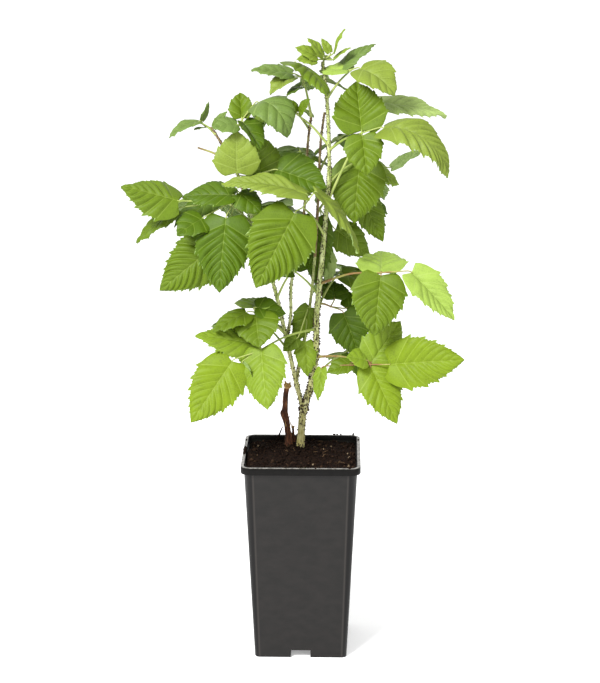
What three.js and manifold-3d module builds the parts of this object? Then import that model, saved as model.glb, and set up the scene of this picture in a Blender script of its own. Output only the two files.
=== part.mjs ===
// A young raspberry plant in a deep square nursery pot. Millimetres, +Z up; the origin is the centre of
// the pot's underside, and the plant's broad side faces -Y.
//
// The plant is a clump of four living canes and two dead stubs from one foot. Each compound leaf is one
// solid: a petiole, the stalks that fork from it and its leaflets, fused together. Where a petiole or a
// side cane leaves its cane, its end is hollowed to the cane's round with a small gap.
import * as THREE from 'three';
import { mergeVertices } from 'three/addons/utils/BufferGeometryUtils.js';
import Module from 'manifold-3d';

const wasm = await Module();
wasm.setup();

// ---- pot and soil ----
const POT_HEIGHT = 206.5;
const RIM_HALF = 60; // half the width across the rim
const RIM_HEIGHT = 7.6;
const RIM_CORNER = 10;
const RIM_WALL = 3.4;
const RIM_CHAMFER = 0.8;
const BODY_TOP_HALF = 56.6; // half the width just under the rim
const FOOT_HALF = 47;
const FOOT_CORNER = 5;
const WALL = 1.2;
const FLOOR = 2.5;
const NOTCH = { width: 20, depth: 24, height: 8 }; // one drainage notch in the middle of each side
const DRAIN_RADIUS = 4; // a hole from each notch into the pot
const DRAIN_LENGTH = 6;
const DRAIN_SIDES = 12;
const CORNER_STEPS = 3;
const CLEARANCE = 0.3;
const SMALLEST_EDGE = 0.02; // shorter slivers, left where surfaces cross, are closed up
const SOIL_EDGE_HEIGHT = 199.8;
const GROUND = 202; // soil level at the foot of the canes
const MOUND = { x: -8, y: 31, flat: 17, reach: 60 }; // level patch round the foot, and where the mound ends
const RIPPLE = { height: 0.8, x: 0.21, y: 0.17 }; // waves of the soil, in radians a millimetre
const SOIL_CELLS = 14;

// ---- canes ----
const CANE_SIDES = 6;
const HALVINGS = 30; // steps that find a height on a cane
const STUB_SIDES = 8;
const FLARE = 0.35; // extra radius at the ground, as a share
const FLARE_HEIGHT = 9;

// name, points up the cane as [x, y, z], radius at its foot and at its tip
const CANES = [
  ['main', [[-2, 30, 202.3], [1, 29, 241], [9, 26, 270], [14, 24, 304], [15, 20, 345], [20, 15, 403],
    [24, 11, 449], [27, 8, 500], [25, 6, 560], [20, 5, 602]], 4.0, 1.3],
  ['left', [[1, 29, 241], [-8, 27, 280], [-18, 23, 328], [-30, 20, 380], [-50, 18, 444], [-68, 14, 500],
    [-80, 12, 521], [-90, 10, 537]], 2.4, 1.0],
  ['middle', [[-7, 28, 267], [-2, 36, 297], [4, 39, 325], [11, 40, 382], [15, 36, 445], [18, 30, 515],
    [22, 26, 550]], 1.9, 1.1],
  ['third', [[-17, 25, 314], [-12, 34, 341], [-11, 40, 377], [1, 44, 443], [5, 38, 513],
    [9, 32, 547]], 1.7, 1.2],
];
const STUBS = [
  ['old_stub', [[-14, 34, 202.3], [-15, 34, 219], [-18, 34, 237], [-17, 33, 257],
    [-15, 32, 269]], 3.4, 2.6],
  ['small_stub', [[-9, 38, 202.3], [-10, 38, 222]], 1.6, 1.1],
];

// ---- leaves ----
const PETIOLE_RADIUS = [1.3, 0.85]; // at the cane and at the fork
const PETIOLE_SIDES = 5;
const PETIOLE_LENGTHS = 3;
const STALK_RADIUS = 0.7;
const FORK_RADIUS = 1.25; // the small swelling where the stalks fork
const PETIOLE_RISE = 0.06; // how far a petiole bows upward, as a share of its length
const LEAST_STALK = 4; // a leaflet nearer its fork than this has no stalk of its own
const ELBOW = 2.5; // from the bend in a stalk to the blade
const USUAL_ARCH = 14; // degrees that a midrib bends
const USUAL_FOLD = 6; // degrees that each half of a blade is raised
const ROUND_BASE = 0.42; // the powers that shape a leaflet: a rounded base
const DRAWN_TIP = 0.95; // and a drawn-out tip
const WIDEST = ROUND_BASE / (ROUND_BASE + DRAWN_TIP); // where it is widest, as a share of its length
const SWEEP = 0.3; // how far the margins lean towards the tip, as a share of the length
const BLADE_THICKNESS = 1 / 50; // at the midrib, as a share of the length
const LEAST_THICKNESS = 0.9;
const TOOTH_SPACING = 14; // along the midrib
const FEWEST_TEETH = 3;
const MOST_TEETH = 6;
const TOOTH_OUT = 1.05; // tips of the teeth and the notches between them, as shares of the half width
const TOOTH_IN = 0.9;
const TOOTH_LEAN = 0.7; // where a tooth's tip is between its two notches
// The proportions of a leaf grown by rule, as shares of its end leaflet's length.
const GROWN = { petiole: 0.85, stalk: 0.28, endWidth: 0.76, sideLength: 0.82, sideWidth: 0.56 };

// leaf, its cane, height where its petiole leaves, petiole [heading, rise, length], then its leaflets:
// stalk [x, y, z], [heading, rise, roll], [length, width] and, where not usual, [arch, fold].
// Headings turn from +X towards +Y, and an upper side that faces straight up has a roll of 0.
const LEAVES = [
  ['right_low', 'main', 300, [-36, 2, 68], [
    [[17, -7, 2], [-12, 7, 72], [76, 52]],
    [[1, 0, 3], [40, 44, 50], [54, 42]],
    [[2, -3, -1], [-33, -60, 46], [63, 42], [22, 4]],
    [[-1, 0, 4], [-160, 14, -40], [22, 26]],
    [[-17, 8, 0], [-165, -18, -34], [26, 22]],
    [[-48, 9, -4], [-110, -70, 14], [33, 17]]]],
  ['right_mid', 'main', 378, [-31, 15, 74], [
    [[28, -8, 4], [-18, -45, 44], [63, 36], [12, 20]],
    [[1, 2, 0], [88, 11, 0], [55, 50]],
    [[0, -2, -1], [-106, -68, -12], [61, 54]]]],
  ['right_dark', 'main', 357, [40, -18, 18], [
    [[12, 0, -4], [-24, -67, 62], [48, 40]],
    [[14, 4, -3], [36, 10, 30], [38, 28]],
    [[4, 2, 7], [94, 16, 6], [38, 32]]]],
  ['left_low', 'main', 330, [-147, -12, 72], [
    [[-23, -6, -6], [-150, -51, -58], [74, 52], [12, 2]],
    [[4, 0, 6], [-76, -62, 30], [63, 48], [12, 0]],
    [[-15, -3, -9], [-33, -66, -60], [28, 24]]]],
  ['left_mid', 'left', 324, [-143, 37, 46], [
    [[6, 0, -34], [-161, 13, -47], [68, 38], [8, -6]],
    [[0, -2, 3], [-80, -48, 12], [38, 46]],
    [[-7, 0, 1], [-150, -22, -16], [41, 32], [14, 0]],
    [[-2, 2, 5], [13, -14, 40], [32, 30]],
    [[-2, 2, 3], [90, 2, 0], [42, 40]]]],
  ['centre_front', 'main', 429, [-119, 39, 54], [
    [[-7, -3, -3], [-139, -54, -48], [84, 66], [10, -4]],
    [[5, 0, 13], [175, 6, -12], [84, 44], [25, 6]],
    [[12, 0, 17], [17, -55, 22], [77, 38], [25, 6]]]],
  ['right_upper', 'main', 515, [-41, 26, 47], [
    [[19, -6, 7], [-13, -36, 25], [79, 49], [108, 0]],
    [[0, 0, 0], [106, 66, -15], [50, 52], [14, 16]],
    [[0, -2, 0], [-66, -72, 24], [40, 38], [20, 14]]]],
  ['right_top', 'main', 462, [4, 62, 104], [
    [[-4, 2, 8], [5, -11, 24], [73, 39]],
    [[-13, 8, 0], [60, -60, 40], [30, 26]]]],
  ['right_blue', 'main', 482, [30, 30, 42], [
    [[0, -2, 0], [-112, -76, -14], [62, 58], [20, 6]],
    [[0, 4, -36], [5, -64, 84], [52, 30], [12, 4]],
    [[4, 2, -5], [31, -30, 40], [46, 32], [12, 4]],
    [[29, -6, -8], [8, 27, -40], [36, 20]]]],
  ['top_right', 'main', 566, [-31, 47, 40], [
    [[7, -2, 3], [-26, -33, 28], [45, 42], [60, 10]],
    [[-12, 8, 0], [18, 32, 20], [42, 24]],
    [[0, 3, 0], [150, -4, -20], [34, 30]]]],
  ['top_left', 'third', 545, [-112, 62, 46], [
    [[-8, -7, 17], [-56, -26, -26], [62, 54], [40, -12]],
    [[-8, 0, 4], [-168, 6, -30], [41, 23]],
    [[-8, 0, 2], [-150, -32, -20], [30, 24], [50, 15]],
    [[0, -2, -8], [-141, -22, 0], [19, 16]]]],
  ['top_tuft', 'main', 596, [60, 80, 8], [
    [[9, -6, 6], [-20, 64, 30], [25, 12]],
    [[8, -6, 0], [-14, 34, 20], [20, 13]],
    [[1, -6, 2], [-165, 48, -40], [24, 18]],
    [[-4, -8, 3], [-165, 22, -50], [24, 17]],
    [[-5, -10, 1], [-162, 2, -50], [20, 14]],
    [[7, -2, 5], [165, 58, -60], [16, 9]],
    [[8, 4, 0], [150, 12, 0], [14, 10]]]],
  ['left_arch', 'left', 512, [-22, 64, 36], [
    [[15, -6, 20], [-26, -46, 30], [46, 43], [150, -4]],
    [[-2, 0, -1], [99, 56, -10], [28, 24], [15, 25]],
    [[0, 0, 0], [-35, -50, 6], [34, 28], [15, 25]],
    [[-2, -2, -4], [-160, -4, -40], [26, 22]]]],
  ['small_mid', 'main', 519, [-167, 45, 45], [
    [[0, 0, 0], [-34, 47, 60], [20, 16]],
    [[0, 0, 0], [-153, 58, -60], [16, 14]]]],
  ['left_light', 'left', 478, [34, 35, 14], [
    [[24, -8, 9], [-20, -16, 50], [55, 48]],
    [[-13, -20, 4], [95, 86, -8], [42, 46]],
    [[9, 2, 1], [98, 58, -8], [42, 44]]]],
  ['left_big', 'left', 455, [-114, 24, 31], [
    [[-54, -4, -1], [-176, 15, -46], [58, 46], [6, -20]],
    [[0, 0, 5], [172, -4, -28], [52, 40], [15, 5]],
    [[2, 0, 9], [-24, -38, 30], [31, 30], [15, -10]],
    [[-9, -8, -14], [-103, -69, -8], [75, 58], [14, -6]],
    [[-11, 6, -39], [-170, -38, -72], [82, 56], [8, -6]],
    [[-31, 0, -17], [-142, -25, -34], [34, 34]],
    [[-58, 12, -10], [177, -40, -26], [54, 34]]]],
  ['back_mid', 'middle', 445, [80, 10, 16], [
    [[-4, 0, -6], [-88, -84, 4], [70, 36]],
    [[14, 4, -20], [6, -38, 74], [45, 34]],
    [[6, 3, -42], [-60, -80, 20], [33, 20]]]],
  ['low_small', 'middle', 337, [-89, 61, 14], [
    [[3, -1, 3], [180, -67, -78], [40, 25]],
    [[-9, -16, -26], [-172, -43, -70], [20, 16]],
    [[-3, -8, -31], [-74, -74, 16], [36, 23]]]],
  ['centre_low', 'main', 366, [186, 46, 34], [
    [[0, 0, 0], [190, 12, -30], [34, 28]],
    [[0, 0, 0], [60, 10, 0], [24, 20]]]],
  ['thin_stalk', 'left', 362, [-20, 62, 30], []],
  ['bare_stalk', 'left', 498, [172, 25, 41], []],
  ['shoot', 'left', 530, [168, 36, 18], [
    [[1, 0, 2], [0, 70, 150], [20, 11]],
    [[0, -3, 3], [-153, -24, -10], [35, 18], [40, 10]],
    [[11, 0, -6], [-12, 50, 60], [21, 11]],
    [[5, 0, -4], [-135, -5, 0], [14, 9]]]],
];

// leaf, its cane, height where its petiole leaves, heading, length of its end leaflet, seed
const BACK_LEAVES = [
  ['back_low_right', 'main', 276, 36, 60, 3],
  ['back_low_left', 'left', 305, 136, 60, 5],
  ['back_mid_right', 'main', 352, 62, 66, 7],
  ['back_mid_left', 'left', 384, 134, 60, 11],
  ['back_centre', 'third', 412, 112, 66, 13],
  ['back_left', 'left', 436, 140, 66, 17],
  ['back_right', 'middle', 448, 58, 66, 19],
  ['back_high_left', 'left', 462, 75, 50, 23],
  ['back_high', 'third', 475, 100, 56, 29],
  ['back_high_right', 'middle', 490, 56, 55, 31],
  ['back_top_left', 'third', 532, 128, 50, 37],
  ['back_top', 'main', 566, 104, 38, 41],
];

const PALETTE = {
  pot: 0x42413f, soil: 0x2a1d16, cane: 0x9aa650, bark: 0x6b4a2c, leaf: 0x77a032,
};

// ---- solids ----

// One closed body from a flat list of corner triples and a list of triangles.
function solid(corners, triangles) {
  return new wasm.Manifold(new wasm.Mesh({
    numProp: 3,
    vertProperties: new Float32Array(corners.flat()),
    triVerts: new Uint32Array(triangles.flat()),
  }));
}

// The body between stacked rings of equal count, closed by a flat cap at each end.
function loft(rings) {
  const count = rings[0].length;
  const triangles = [];
  for (let level = 0; level + 1 < rings.length; level += 1) {
    for (let i = 0; i < count; i += 1) {
      const a = level * count + i;
      const b = level * count + (i + 1) % count;
      triangles.push([a, b, b + count], [a, b + count, a + count]);
    }
  }
  const top = (rings.length - 1) * count;
  for (let i = 1; i + 1 < count; i += 1) {
    triangles.push([0, i + 1, i], [top, top + i, top + i + 1]);
  }
  return solid(rings.flat(), triangles);
}

// The main body alone: scraps are dropped, and hollows that were sealed by fusing are filled.
function largest(body) {
  const pieces = body.simplify(SMALLEST_EDGE).decompose();
  return pieces.reduce((most, piece) => (piece.volume() > most.volume() ? piece : most));
}

function block(low, high) {
  const [width, depth, height] = high.map((value, axis) => value - low[axis]);
  const geometry = new THREE.BoxGeometry(width, depth, height);
  geometry.translate(low[0] + width / 2, low[1] + depth / 2, low[2] + height / 2);
  return fromGeometry(geometry);
}

function fromGeometry(geometry) {
  geometry.deleteAttribute('normal');
  geometry.deleteAttribute('uv');
  const merged = mergeVertices(geometry);
  return new wasm.Manifold(new wasm.Mesh({
    numProp: 3,
    vertProperties: new Float32Array(merged.attributes.position.array),
    triVerts: new Uint32Array(merged.index.array),
  }));
}

// A square outline with rounded corners, anticlockwise from above.
function roundedSquare(half, corner, z) {
  const ring = [];
  for (let quarter = 0; quarter < 4; quarter += 1) {
    const start = quarter * Math.PI / 2;
    const x = (half - corner) * Math.SQRT2 * Math.cos(start + Math.PI / 4);
    const y = (half - corner) * Math.SQRT2 * Math.sin(start + Math.PI / 4);
    for (let i = 0; i <= CORNER_STEPS; i += 1) {
      const angle = start + i / CORNER_STEPS * Math.PI / 2;
      ring.push([x + corner * Math.cos(angle), y + corner * Math.sin(angle), z]);
    }
  }
  return ring;
}

// ---- pot ----

// The four drainage notches, each let into the foot of a side, grown all round by a margin.
function notches(grow) {
  const { width, depth, height } = NOTCH;
  const outer = RIM_HALF;
  const inner = FOOT_HALF - depth - grow;
  const across = width / 2 + grow;
  const top = height + grow;
  return [
    block([-across, -outer, -1], [across, -inner, top]),
    block([-across, inner, -1], [across, outer, top]),
    block([-outer, -across, -1], [-inner, across, top]),
    block([inner, -across, -1], [outer, across, top]),
  ];
}

function without(body, cutters) {
  return cutters.reduce((rest, cutter) => rest.subtract(cutter), body);
}

function cavity(inset, floor) {
  const slope = (BODY_TOP_HALF - FOOT_HALF) / (POT_HEIGHT - RIM_HEIGHT);
  const half = (z) => FOOT_HALF + slope * z - WALL - inset;
  const top = POT_HEIGHT + 1;
  const hollow = loft([
    roundedSquare(half(floor), FOOT_CORNER, floor),
    roundedSquare(half(top), RIM_CORNER - WALL - 2, top),
  ]);
  return without(hollow, notches(WALL + inset));
}

function makePot() {
  const under = POT_HEIGHT - RIM_HEIGHT;
  const outside = loft([
    roundedSquare(FOOT_HALF, FOOT_CORNER, 0),
    roundedSquare(BODY_TOP_HALF, RIM_CORNER - 1, under),
    roundedSquare(RIM_HALF, RIM_CORNER, under + RIM_CHAMFER / 2),
    roundedSquare(RIM_HALF, RIM_CORNER, POT_HEIGHT - RIM_CHAMFER),
    roundedSquare(RIM_HALF - RIM_CHAMFER, RIM_CORNER, POT_HEIGHT),
  ]);
  const collar = loft([
    roundedSquare(BODY_TOP_HALF - WALL, RIM_CORNER - RIM_WALL, under + WALL),
    roundedSquare(RIM_HALF - RIM_WALL, RIM_CORNER - RIM_WALL, under + 2 * WALL),
    roundedSquare(RIM_HALF - RIM_WALL, RIM_CORNER - RIM_WALL, POT_HEIGHT + 1),
  ]);
  const shell = without(outside, [cavity(0, FLOOR), collar, ...notches(0)]);
  const place = FOOT_HALF - NOTCH.depth / 2 - 2;
  const drains = [[place, 0], [-place, 0], [0, place], [0, -place]].map(([x, y]) => {
    const geometry = new THREE.CylinderGeometry(DRAIN_RADIUS, DRAIN_RADIUS, DRAIN_LENGTH, DRAIN_SIDES);
    geometry.rotateX(Math.PI / 2);
    geometry.translate(x, y, NOTCH.height + WALL);
    return fromGeometry(geometry);
  });
  return without(shell, drains);
}

function soilHeight(x, y) {
  const distance = Math.hypot(x - MOUND.x, y - MOUND.y);
  const fall = THREE.MathUtils.smoothstep(distance, MOUND.flat, MOUND.reach);
  const ripple = RIPPLE.height * Math.sin(x * RIPPLE.x + 1) * Math.sin(y * RIPPLE.y) * fall;
  return THREE.MathUtils.lerp(GROUND, SOIL_EDGE_HEIGHT, fall) + ripple;
}

function makeSoil() {
  const size = 2 * RIM_HALF;
  const grid = new THREE.PlaneGeometry(size, size, SOIL_CELLS, SOIL_CELLS);
  const points = grid.attributes.position;
  const corners = [];
  for (let i = 0; i < points.count; i += 1) {
    corners.push([points.getX(i), points.getY(i), soilHeight(points.getX(i), points.getY(i))]);
  }
  const below = corners.map(([x, y]) => [x, y, 0]);
  const triangles = [];
  const index = grid.index.array;
  for (let i = 0; i < index.length; i += 3) {
    const [a, b, c] = index.slice(i, i + 3);
    triangles.push([a, b, c], [c + points.count, b + points.count, a + points.count]);
  }
  const row = SOIL_CELLS + 1;
  const edge = [];
  for (let i = 0; i < SOIL_CELLS; i += 1) edge.push(i);
  for (let i = 0; i < SOIL_CELLS; i += 1) edge.push(i * row + SOIL_CELLS);
  for (let i = SOIL_CELLS; i > 0; i -= 1) edge.push(SOIL_CELLS * row + i);
  for (let i = SOIL_CELLS; i > 0; i -= 1) edge.push(i * row);
  edge.forEach((a, i) => {
    const b = edge[(i + 1) % edge.length];
    triangles.push([a, b, b + points.count], [a, b + points.count, a + points.count]);
  });
  const ground = solid([...corners, ...below], triangles);
  return ground.intersect(cavity(CLEARANCE, FLOOR + CLEARANCE));
}

// ---- canes ----

// A tapering limb along a curve; its first end is cut level where it stands on the ground.
function limb(curve, segments, sides, radiusAt, levelFoot) {
  const rings = [];
  const facing = new THREE.Vector3(1, 0, 0);
  for (let i = 0; i <= segments; i += 1) {
    const t = i / segments;
    const centre = curve.getPoint(t);
    const along = levelFoot && i === 0 ? new THREE.Vector3(0, 0, 1) : curve.getTangent(t);
    const across = facing.clone().addScaledVector(along, -facing.dot(along)).normalize();
    facing.copy(across);
    const out = along.clone().cross(across);
    const radius = radiusAt(t);
    rings.push(Array.from({ length: sides }, (_, side) => {
      const angle = side / sides * 2 * Math.PI;
      return centre.clone()
        .addScaledVector(across, radius * Math.cos(angle))
        .addScaledVector(out, radius * Math.sin(angle))
        .toArray();
    }));
  }
  return loft(rings);
}

function curveOf(points) {
  const vectors = points.map((point) => new THREE.Vector3(...point));
  return new THREE.CatmullRomCurve3(vectors, false, 'catmullrom', 0.5);
}

const canes = new Map();
for (const [name, points, foot, tip] of CANES) {
  canes.set(name, { curve: curveOf(points), lengths: points.length * 2, foot, tip });
}

function caneSolid(name, grow) {
  const { curve, lengths, foot, tip } = canes.get(name);
  const standing = name === 'main';
  const radiusAt = (t) => {
    const above = curve.getPoint(t).z - GROUND;
    const flare = standing ? FLARE * Math.exp(-above / FLARE_HEIGHT) : 0;
    return THREE.MathUtils.lerp(foot, tip, t) * (1 + flare) + grow;
  };
  return limb(curve, lengths, CANE_SIDES, radiusAt, standing);
}

// Where the cane is at a height: the point on its curve, found by halving.
function pointOnCane(name, height) {
  const { curve } = canes.get(name);
  let low = 0;
  let high = 1;
  for (let step = 0; step < HALVINGS; step += 1) {
    const middle = (low + high) / 2;
    if (curve.getPoint(middle).z < height) low = middle;
    else high = middle;
  }
  return curve.getPoint(low);
}

// ---- leaves ----

function direction(heading, rise) {
  const [h, r] = [heading, rise].map(THREE.MathUtils.degToRad);
  return new THREE.Vector3(Math.cos(r) * Math.cos(h), Math.cos(r) * Math.sin(h), Math.sin(r));
}

// How wide a leaflet is at a share of its length: 1 where it is widest, nothing at both ends.
function outline(share) {
  const bulge = (at) => at ** ROUND_BASE * (1 - at) ** DRAWN_TIP;
  return bulge(share) / bulge(WIDEST);
}

// The directions of a leaflet: along its midrib, to its side and out of its upper face.
function bladeFrame([heading, rise, roll]) {
  const along = direction(heading, rise);
  const up = direction(heading, rise + 90);
  const level = along.clone().cross(up);
  const turn = THREE.MathUtils.degToRad(roll);
  const normal = up.multiplyScalar(Math.cos(turn)).addScaledVector(level, Math.sin(turn));
  return { along, normal, side: along.clone().cross(normal) };
}

// Gives the point of a leaflet at a share of its length, a share of its half width and a height over it.
function bladeSurface(base, { along, normal, side }, [length, width], [archDegrees, foldDegrees]) {
  const half = THREE.MathUtils.degToRad(archDegrees) / 2;
  const radius = length / (2 * Math.sin(half));
  const fold = Math.tan(THREE.MathUtils.degToRad(foldDegrees));
  return (row, across, height) => {
    const share = row + SWEEP * Math.abs(across) * Math.sqrt(row) * (1 - row);
    const y = across * width / 2 * outline(Math.min(share, 1));
    const z = Math.abs(y) * fold + height;
    const angle = half - 2 * half * share;
    return base.clone()
      .addScaledVector(along, radius * (Math.sin(half) - Math.sin(angle)) - z * Math.sin(angle))
      .addScaledVector(side, y)
      .addScaledVector(normal, radius * (Math.cos(angle) - Math.cos(half)) + z * Math.cos(angle));
  };
}

// One leaflet and its stalk: the stalk has four edges, which run on as the midrib's two faces and the
// blade's two toothed margins. The blade is a lens, thickest at the midrib.
function leaflet(hub, offset, turn, size, shape) {
  const frame = bladeFrame(turn);
  const stalked = offset.length() > LEAST_STALK;
  const elbow = hub.clone().add(stalked ? offset : new THREE.Vector3());
  const base = elbow.clone().addScaledVector(frame.along, ELBOW);
  const at = bladeSurface(base, frame, size, shape);
  const thick = Math.max(size[0] * BLADE_THICKNESS, LEAST_THICKNESS) / 2;
  const rows = THREE.MathUtils.clamp(Math.round(size[0] / TOOTH_SPACING), FEWEST_TEETH, MOST_TEETH);
  const corners = [];
  const keep = (point) => corners.push(point.toArray()) - 1;
  const ring = (centre, over, way) => {
    const across = way.clone().cross(over);
    return [over, across, over.clone().negate(), across.clone().negate()]
      .map((edge) => keep(centre.clone().addScaledVector(edge, STALK_RADIUS)));
  };
  const carried = (over, from, to) => {
    const turned = new THREE.Quaternion().setFromUnitVectors(from, to);
    return over.clone().applyQuaternion(turned);
  };
  const rings = [ring(base, frame.normal, frame.along)];
  if (stalked) {
    const way = offset.clone().normalize();
    const mitre = way.clone().add(frame.along).normalize();
    const over = carried(frame.normal, frame.along, mitre);
    rings.unshift(
      ring(hub.clone().addScaledVector(way, FORK_RADIUS / 3), carried(over, mitre, way), way),
      ring(elbow, over, mitre),
    );
  } else {
    const start = hub.clone().addScaledVector(frame.along, FORK_RADIUS / 3);
    rings.unshift(ring(start, frame.normal, frame.along));
  }
  const triangles = [[0, 2, 1], [0, 3, 2]].map((face) => face.map((i) => rings[0][i]));
  for (let level = 0; level + 1 < rings.length; level += 1) {
    const [here, next] = [rings[level], rings[level + 1]];
    here.forEach((a, i) => {
      const b = here[(i + 1) % 4];
      triangles.push([a, b, next[i]], [b, next[(i + 1) % 4], next[i]]);
    });
  }
  const collar = rings.at(-1);
  const tip = keep(at(1, 0, 0));
  const lineOf = (first, pointAt) => Array.from({ length: rows + 1 }, (_, i) => {
    if (i === 0) return first;
    return i === rows ? tip : keep(pointAt(i / rows));
  });
  const upper = lineOf(collar[0], (row) => at(row, 0, thick));
  const lower = lineOf(collar[2], (row) => at(row, 0, -thick));
  for (const side of [-1, 1]) {
    const notch = lineOf(collar[2 - side], (row) => at(row, side * TOOTH_IN, 0));
    for (let i = 0; i < rows; i += 1) {
      const tooth = keep(at((i + TOOTH_LEAN) / rows, side * TOOTH_OUT, 0));
      for (const line of [upper, lower]) {
        const turned = (line === upper) === (side === 1);
        const face = (a, b, c) => triangles.push(turned ? [a, b, c] : [a, c, b]);
        face(line[i], notch[i], tooth);
        face(line[i], tooth, line[i + 1]);
        if (line[i + 1] !== tip) face(line[i + 1], tooth, notch[i + 1]);
      }
    }
  }
  return solid(corners, triangles);
}

function makeLeaf([, cane, height, [heading, rise, length], leaflets]) {
  const start = pointOnCane(cane, height);
  const hub = start.clone().addScaledVector(direction(heading, rise), length);
  const bow = start.clone().lerp(hub, 0.5).add(new THREE.Vector3(0, 0, PETIOLE_RISE * length));
  const petiole = curveOf([start, bow, hub].map((point) => point.toArray()));
  const radiusAt = (t) => THREE.MathUtils.lerp(...PETIOLE_RADIUS, t);
  const blades = leaflets.map(([offset, turn, size, shape = [USUAL_ARCH, USUAL_FOLD]]) =>
    leaflet(hub, new THREE.Vector3(...offset), turn, size, shape));
  const fork = new THREE.IcosahedronGeometry(FORK_RADIUS);
  fork.translate(...hub);
  const stem = limb(petiole, PETIOLE_LENGTHS, PETIOLE_SIDES, radiusAt, false);
  const whole = wasm.Manifold.union([stem, fromGeometry(fork), ...blades]);
  return largest(whole.subtract(caneSolid(cane, CLEARANCE)));
}

// Random numbers from 0 to 1, the same in any language.
function seeded(seed) {
  let state = seed * 7919 + 1;
  return () => {
    state = state * 16807 % 2147483647;
    return state / 2147483647;
  };
}

// A leaf of three leaflets by rule: its petiole rises, its leaflets droop and spread.
function grownLeaf([name, cane, height, heading, size, seed]) {
  const draw = seeded(seed);
  const vary = (middle, spread) => middle + spread * (2 * draw() - 1);
  const petiole = [heading, vary(32, 8), size * GROWN.petiole];
  const stalk = direction(heading, 10).multiplyScalar(size * GROWN.stalk).toArray();
  const end = [vary(heading, 8), vary(-35, 8), vary(0, 10)];
  const leaflets = [[stalk, end, [size, size * GROWN.endWidth]]];
  for (const side of [-1, 1]) {
    const turn = [heading + side * vary(72, 8), vary(-28, 8), -side * vary(15, 6)];
    leaflets.push([[0, 0, 0], turn, [size * GROWN.sideLength, size * GROWN.sideWidth]]);
  }
  return [name, cane, height, petiole, leaflets];
}

// ---- the plant and its pot ----

function meshOf(name, body, colour, roughness) {
  const { vertProperties, triVerts } = body.getMesh();
  const geometry = new THREE.BufferGeometry();
  geometry.setAttribute('position', new THREE.BufferAttribute(vertProperties, 3));
  geometry.setIndex(new THREE.BufferAttribute(triVerts, 1));
  const material = new THREE.MeshStandardMaterial({ color: colour, roughness, metalness: 0 });
  const mesh = new THREE.Mesh(geometry, material);
  mesh.name = name;
  return mesh;
}

const plant = new THREE.Group();
plant.add(meshOf('pot', makePot(), PALETTE.pot, 0.5));
plant.add(meshOf('soil', makeSoil(), PALETTE.soil, 1));

const PARENT = { left: 'main', middle: 'left', third: 'left' };
for (const [name] of CANES) {
  const whole = caneSolid(name, 0);
  const body = PARENT[name] ? largest(whole.subtract(caneSolid(PARENT[name], CLEARANCE))) : whole;
  plant.add(meshOf(`cane_${name}`, body, PALETTE.cane, 0.6));
}
for (const [name, points, foot, tip] of STUBS) {
  const radiusAt = (t) => THREE.MathUtils.lerp(foot, tip, t);
  const body = limb(curveOf(points), 2 * points.length, STUB_SIDES, radiusAt, true);
  plant.add(meshOf(name, body, PALETTE.bark, 0.9));
}
for (const leaf of [...LEAVES, ...BACK_LEAVES.map(grownLeaf)]) {
  plant.add(meshOf(`leaf_${leaf[0]}`, makeLeaf(leaf), PALETTE.leaf, 0.55));
}

export default plant;
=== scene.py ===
"""A young raspberry plant in a deep square nursery pot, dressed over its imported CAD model.

Lengths are millimetres and angles are degrees until a mesh is made, which scales them to metres.
"""
import math
import random

import bpy
import numpy as np
from mathutils import Matrix, Vector, noise


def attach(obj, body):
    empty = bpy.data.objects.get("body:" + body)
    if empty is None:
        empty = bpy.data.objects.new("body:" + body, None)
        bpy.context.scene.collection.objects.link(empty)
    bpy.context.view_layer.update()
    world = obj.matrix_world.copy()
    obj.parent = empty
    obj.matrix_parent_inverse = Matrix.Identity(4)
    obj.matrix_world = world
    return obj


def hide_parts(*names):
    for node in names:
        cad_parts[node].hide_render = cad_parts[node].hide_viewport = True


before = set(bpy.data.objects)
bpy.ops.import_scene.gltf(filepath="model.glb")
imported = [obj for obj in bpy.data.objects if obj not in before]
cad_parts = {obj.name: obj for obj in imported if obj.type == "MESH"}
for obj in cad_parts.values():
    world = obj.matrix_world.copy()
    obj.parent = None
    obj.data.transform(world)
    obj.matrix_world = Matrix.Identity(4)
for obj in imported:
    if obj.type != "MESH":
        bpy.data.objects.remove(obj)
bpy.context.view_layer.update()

MM = 0.001
TURN = 2 * math.pi

# ---- camera and light ----
CAMERA_AT = (40.5, -1860.5, 779.0)
CAMERA_PITCH = 13.8
CAMERA_YAW = 1.3
FOCAL_PIXELS = 1900
IMAGE_HEIGHT = 683
SENSOR = 36.0
FLOOR_GLOW = 0.3  # a lit white table, so that shadows stay faint
WORLD_STRENGTH = 1.04
# Each lamp's place, aim and size in metres, and its power.
LAMPS = {
    "key": ((-1.0, -1.5, 1.9), (0, 0, 0.4), 0.8, 105),
    "fill": ((1.3, -1.8, 0.9), (0, 0, 0.35), 1.0, 12),
}

# ---- pot and compost ----
POT_HEIGHT = 206.5
RIM_HALF = 60
RIM_HEIGHT = 7.6
RIM_CORNER = 10
BODY_TOP_HALF = 56.6
BODY_CORNER = RIM_CORNER - 1
FOOT_HALF = 47
FOOT_CORNER = 5
WALL = 1.2
INNER_CORNER = 6.8
RIM_WALL = 3.4
POT_FLOOR = 12
UNDER_RIM = POT_HEIGHT - RIM_HEIGHT
BODY_SLOPE = (BODY_TOP_HALF - FOOT_HALF) / UNDER_RIM
CORNER_START = FOOT_HALF - FOOT_CORNER  # where a side's flat ends, at the foot
CORNER_SLOPE = (BODY_TOP_HALF - BODY_CORNER - CORNER_START) / UNDER_RIM
NOTCH = (20, 24, 8)  # width, depth and height of the notch in the foot of each side
CORNER_STEPS = 10
SOIL_EDGE_HEIGHT = 199.8
SOIL_RINGS = 64
SOIL_SIDE = 60  # points along each side of a ring
SOIL_GAP = 0.25  # between the compost and the wall
SQUARENESS = 9  # power of the rounded square that the rings follow
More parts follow.
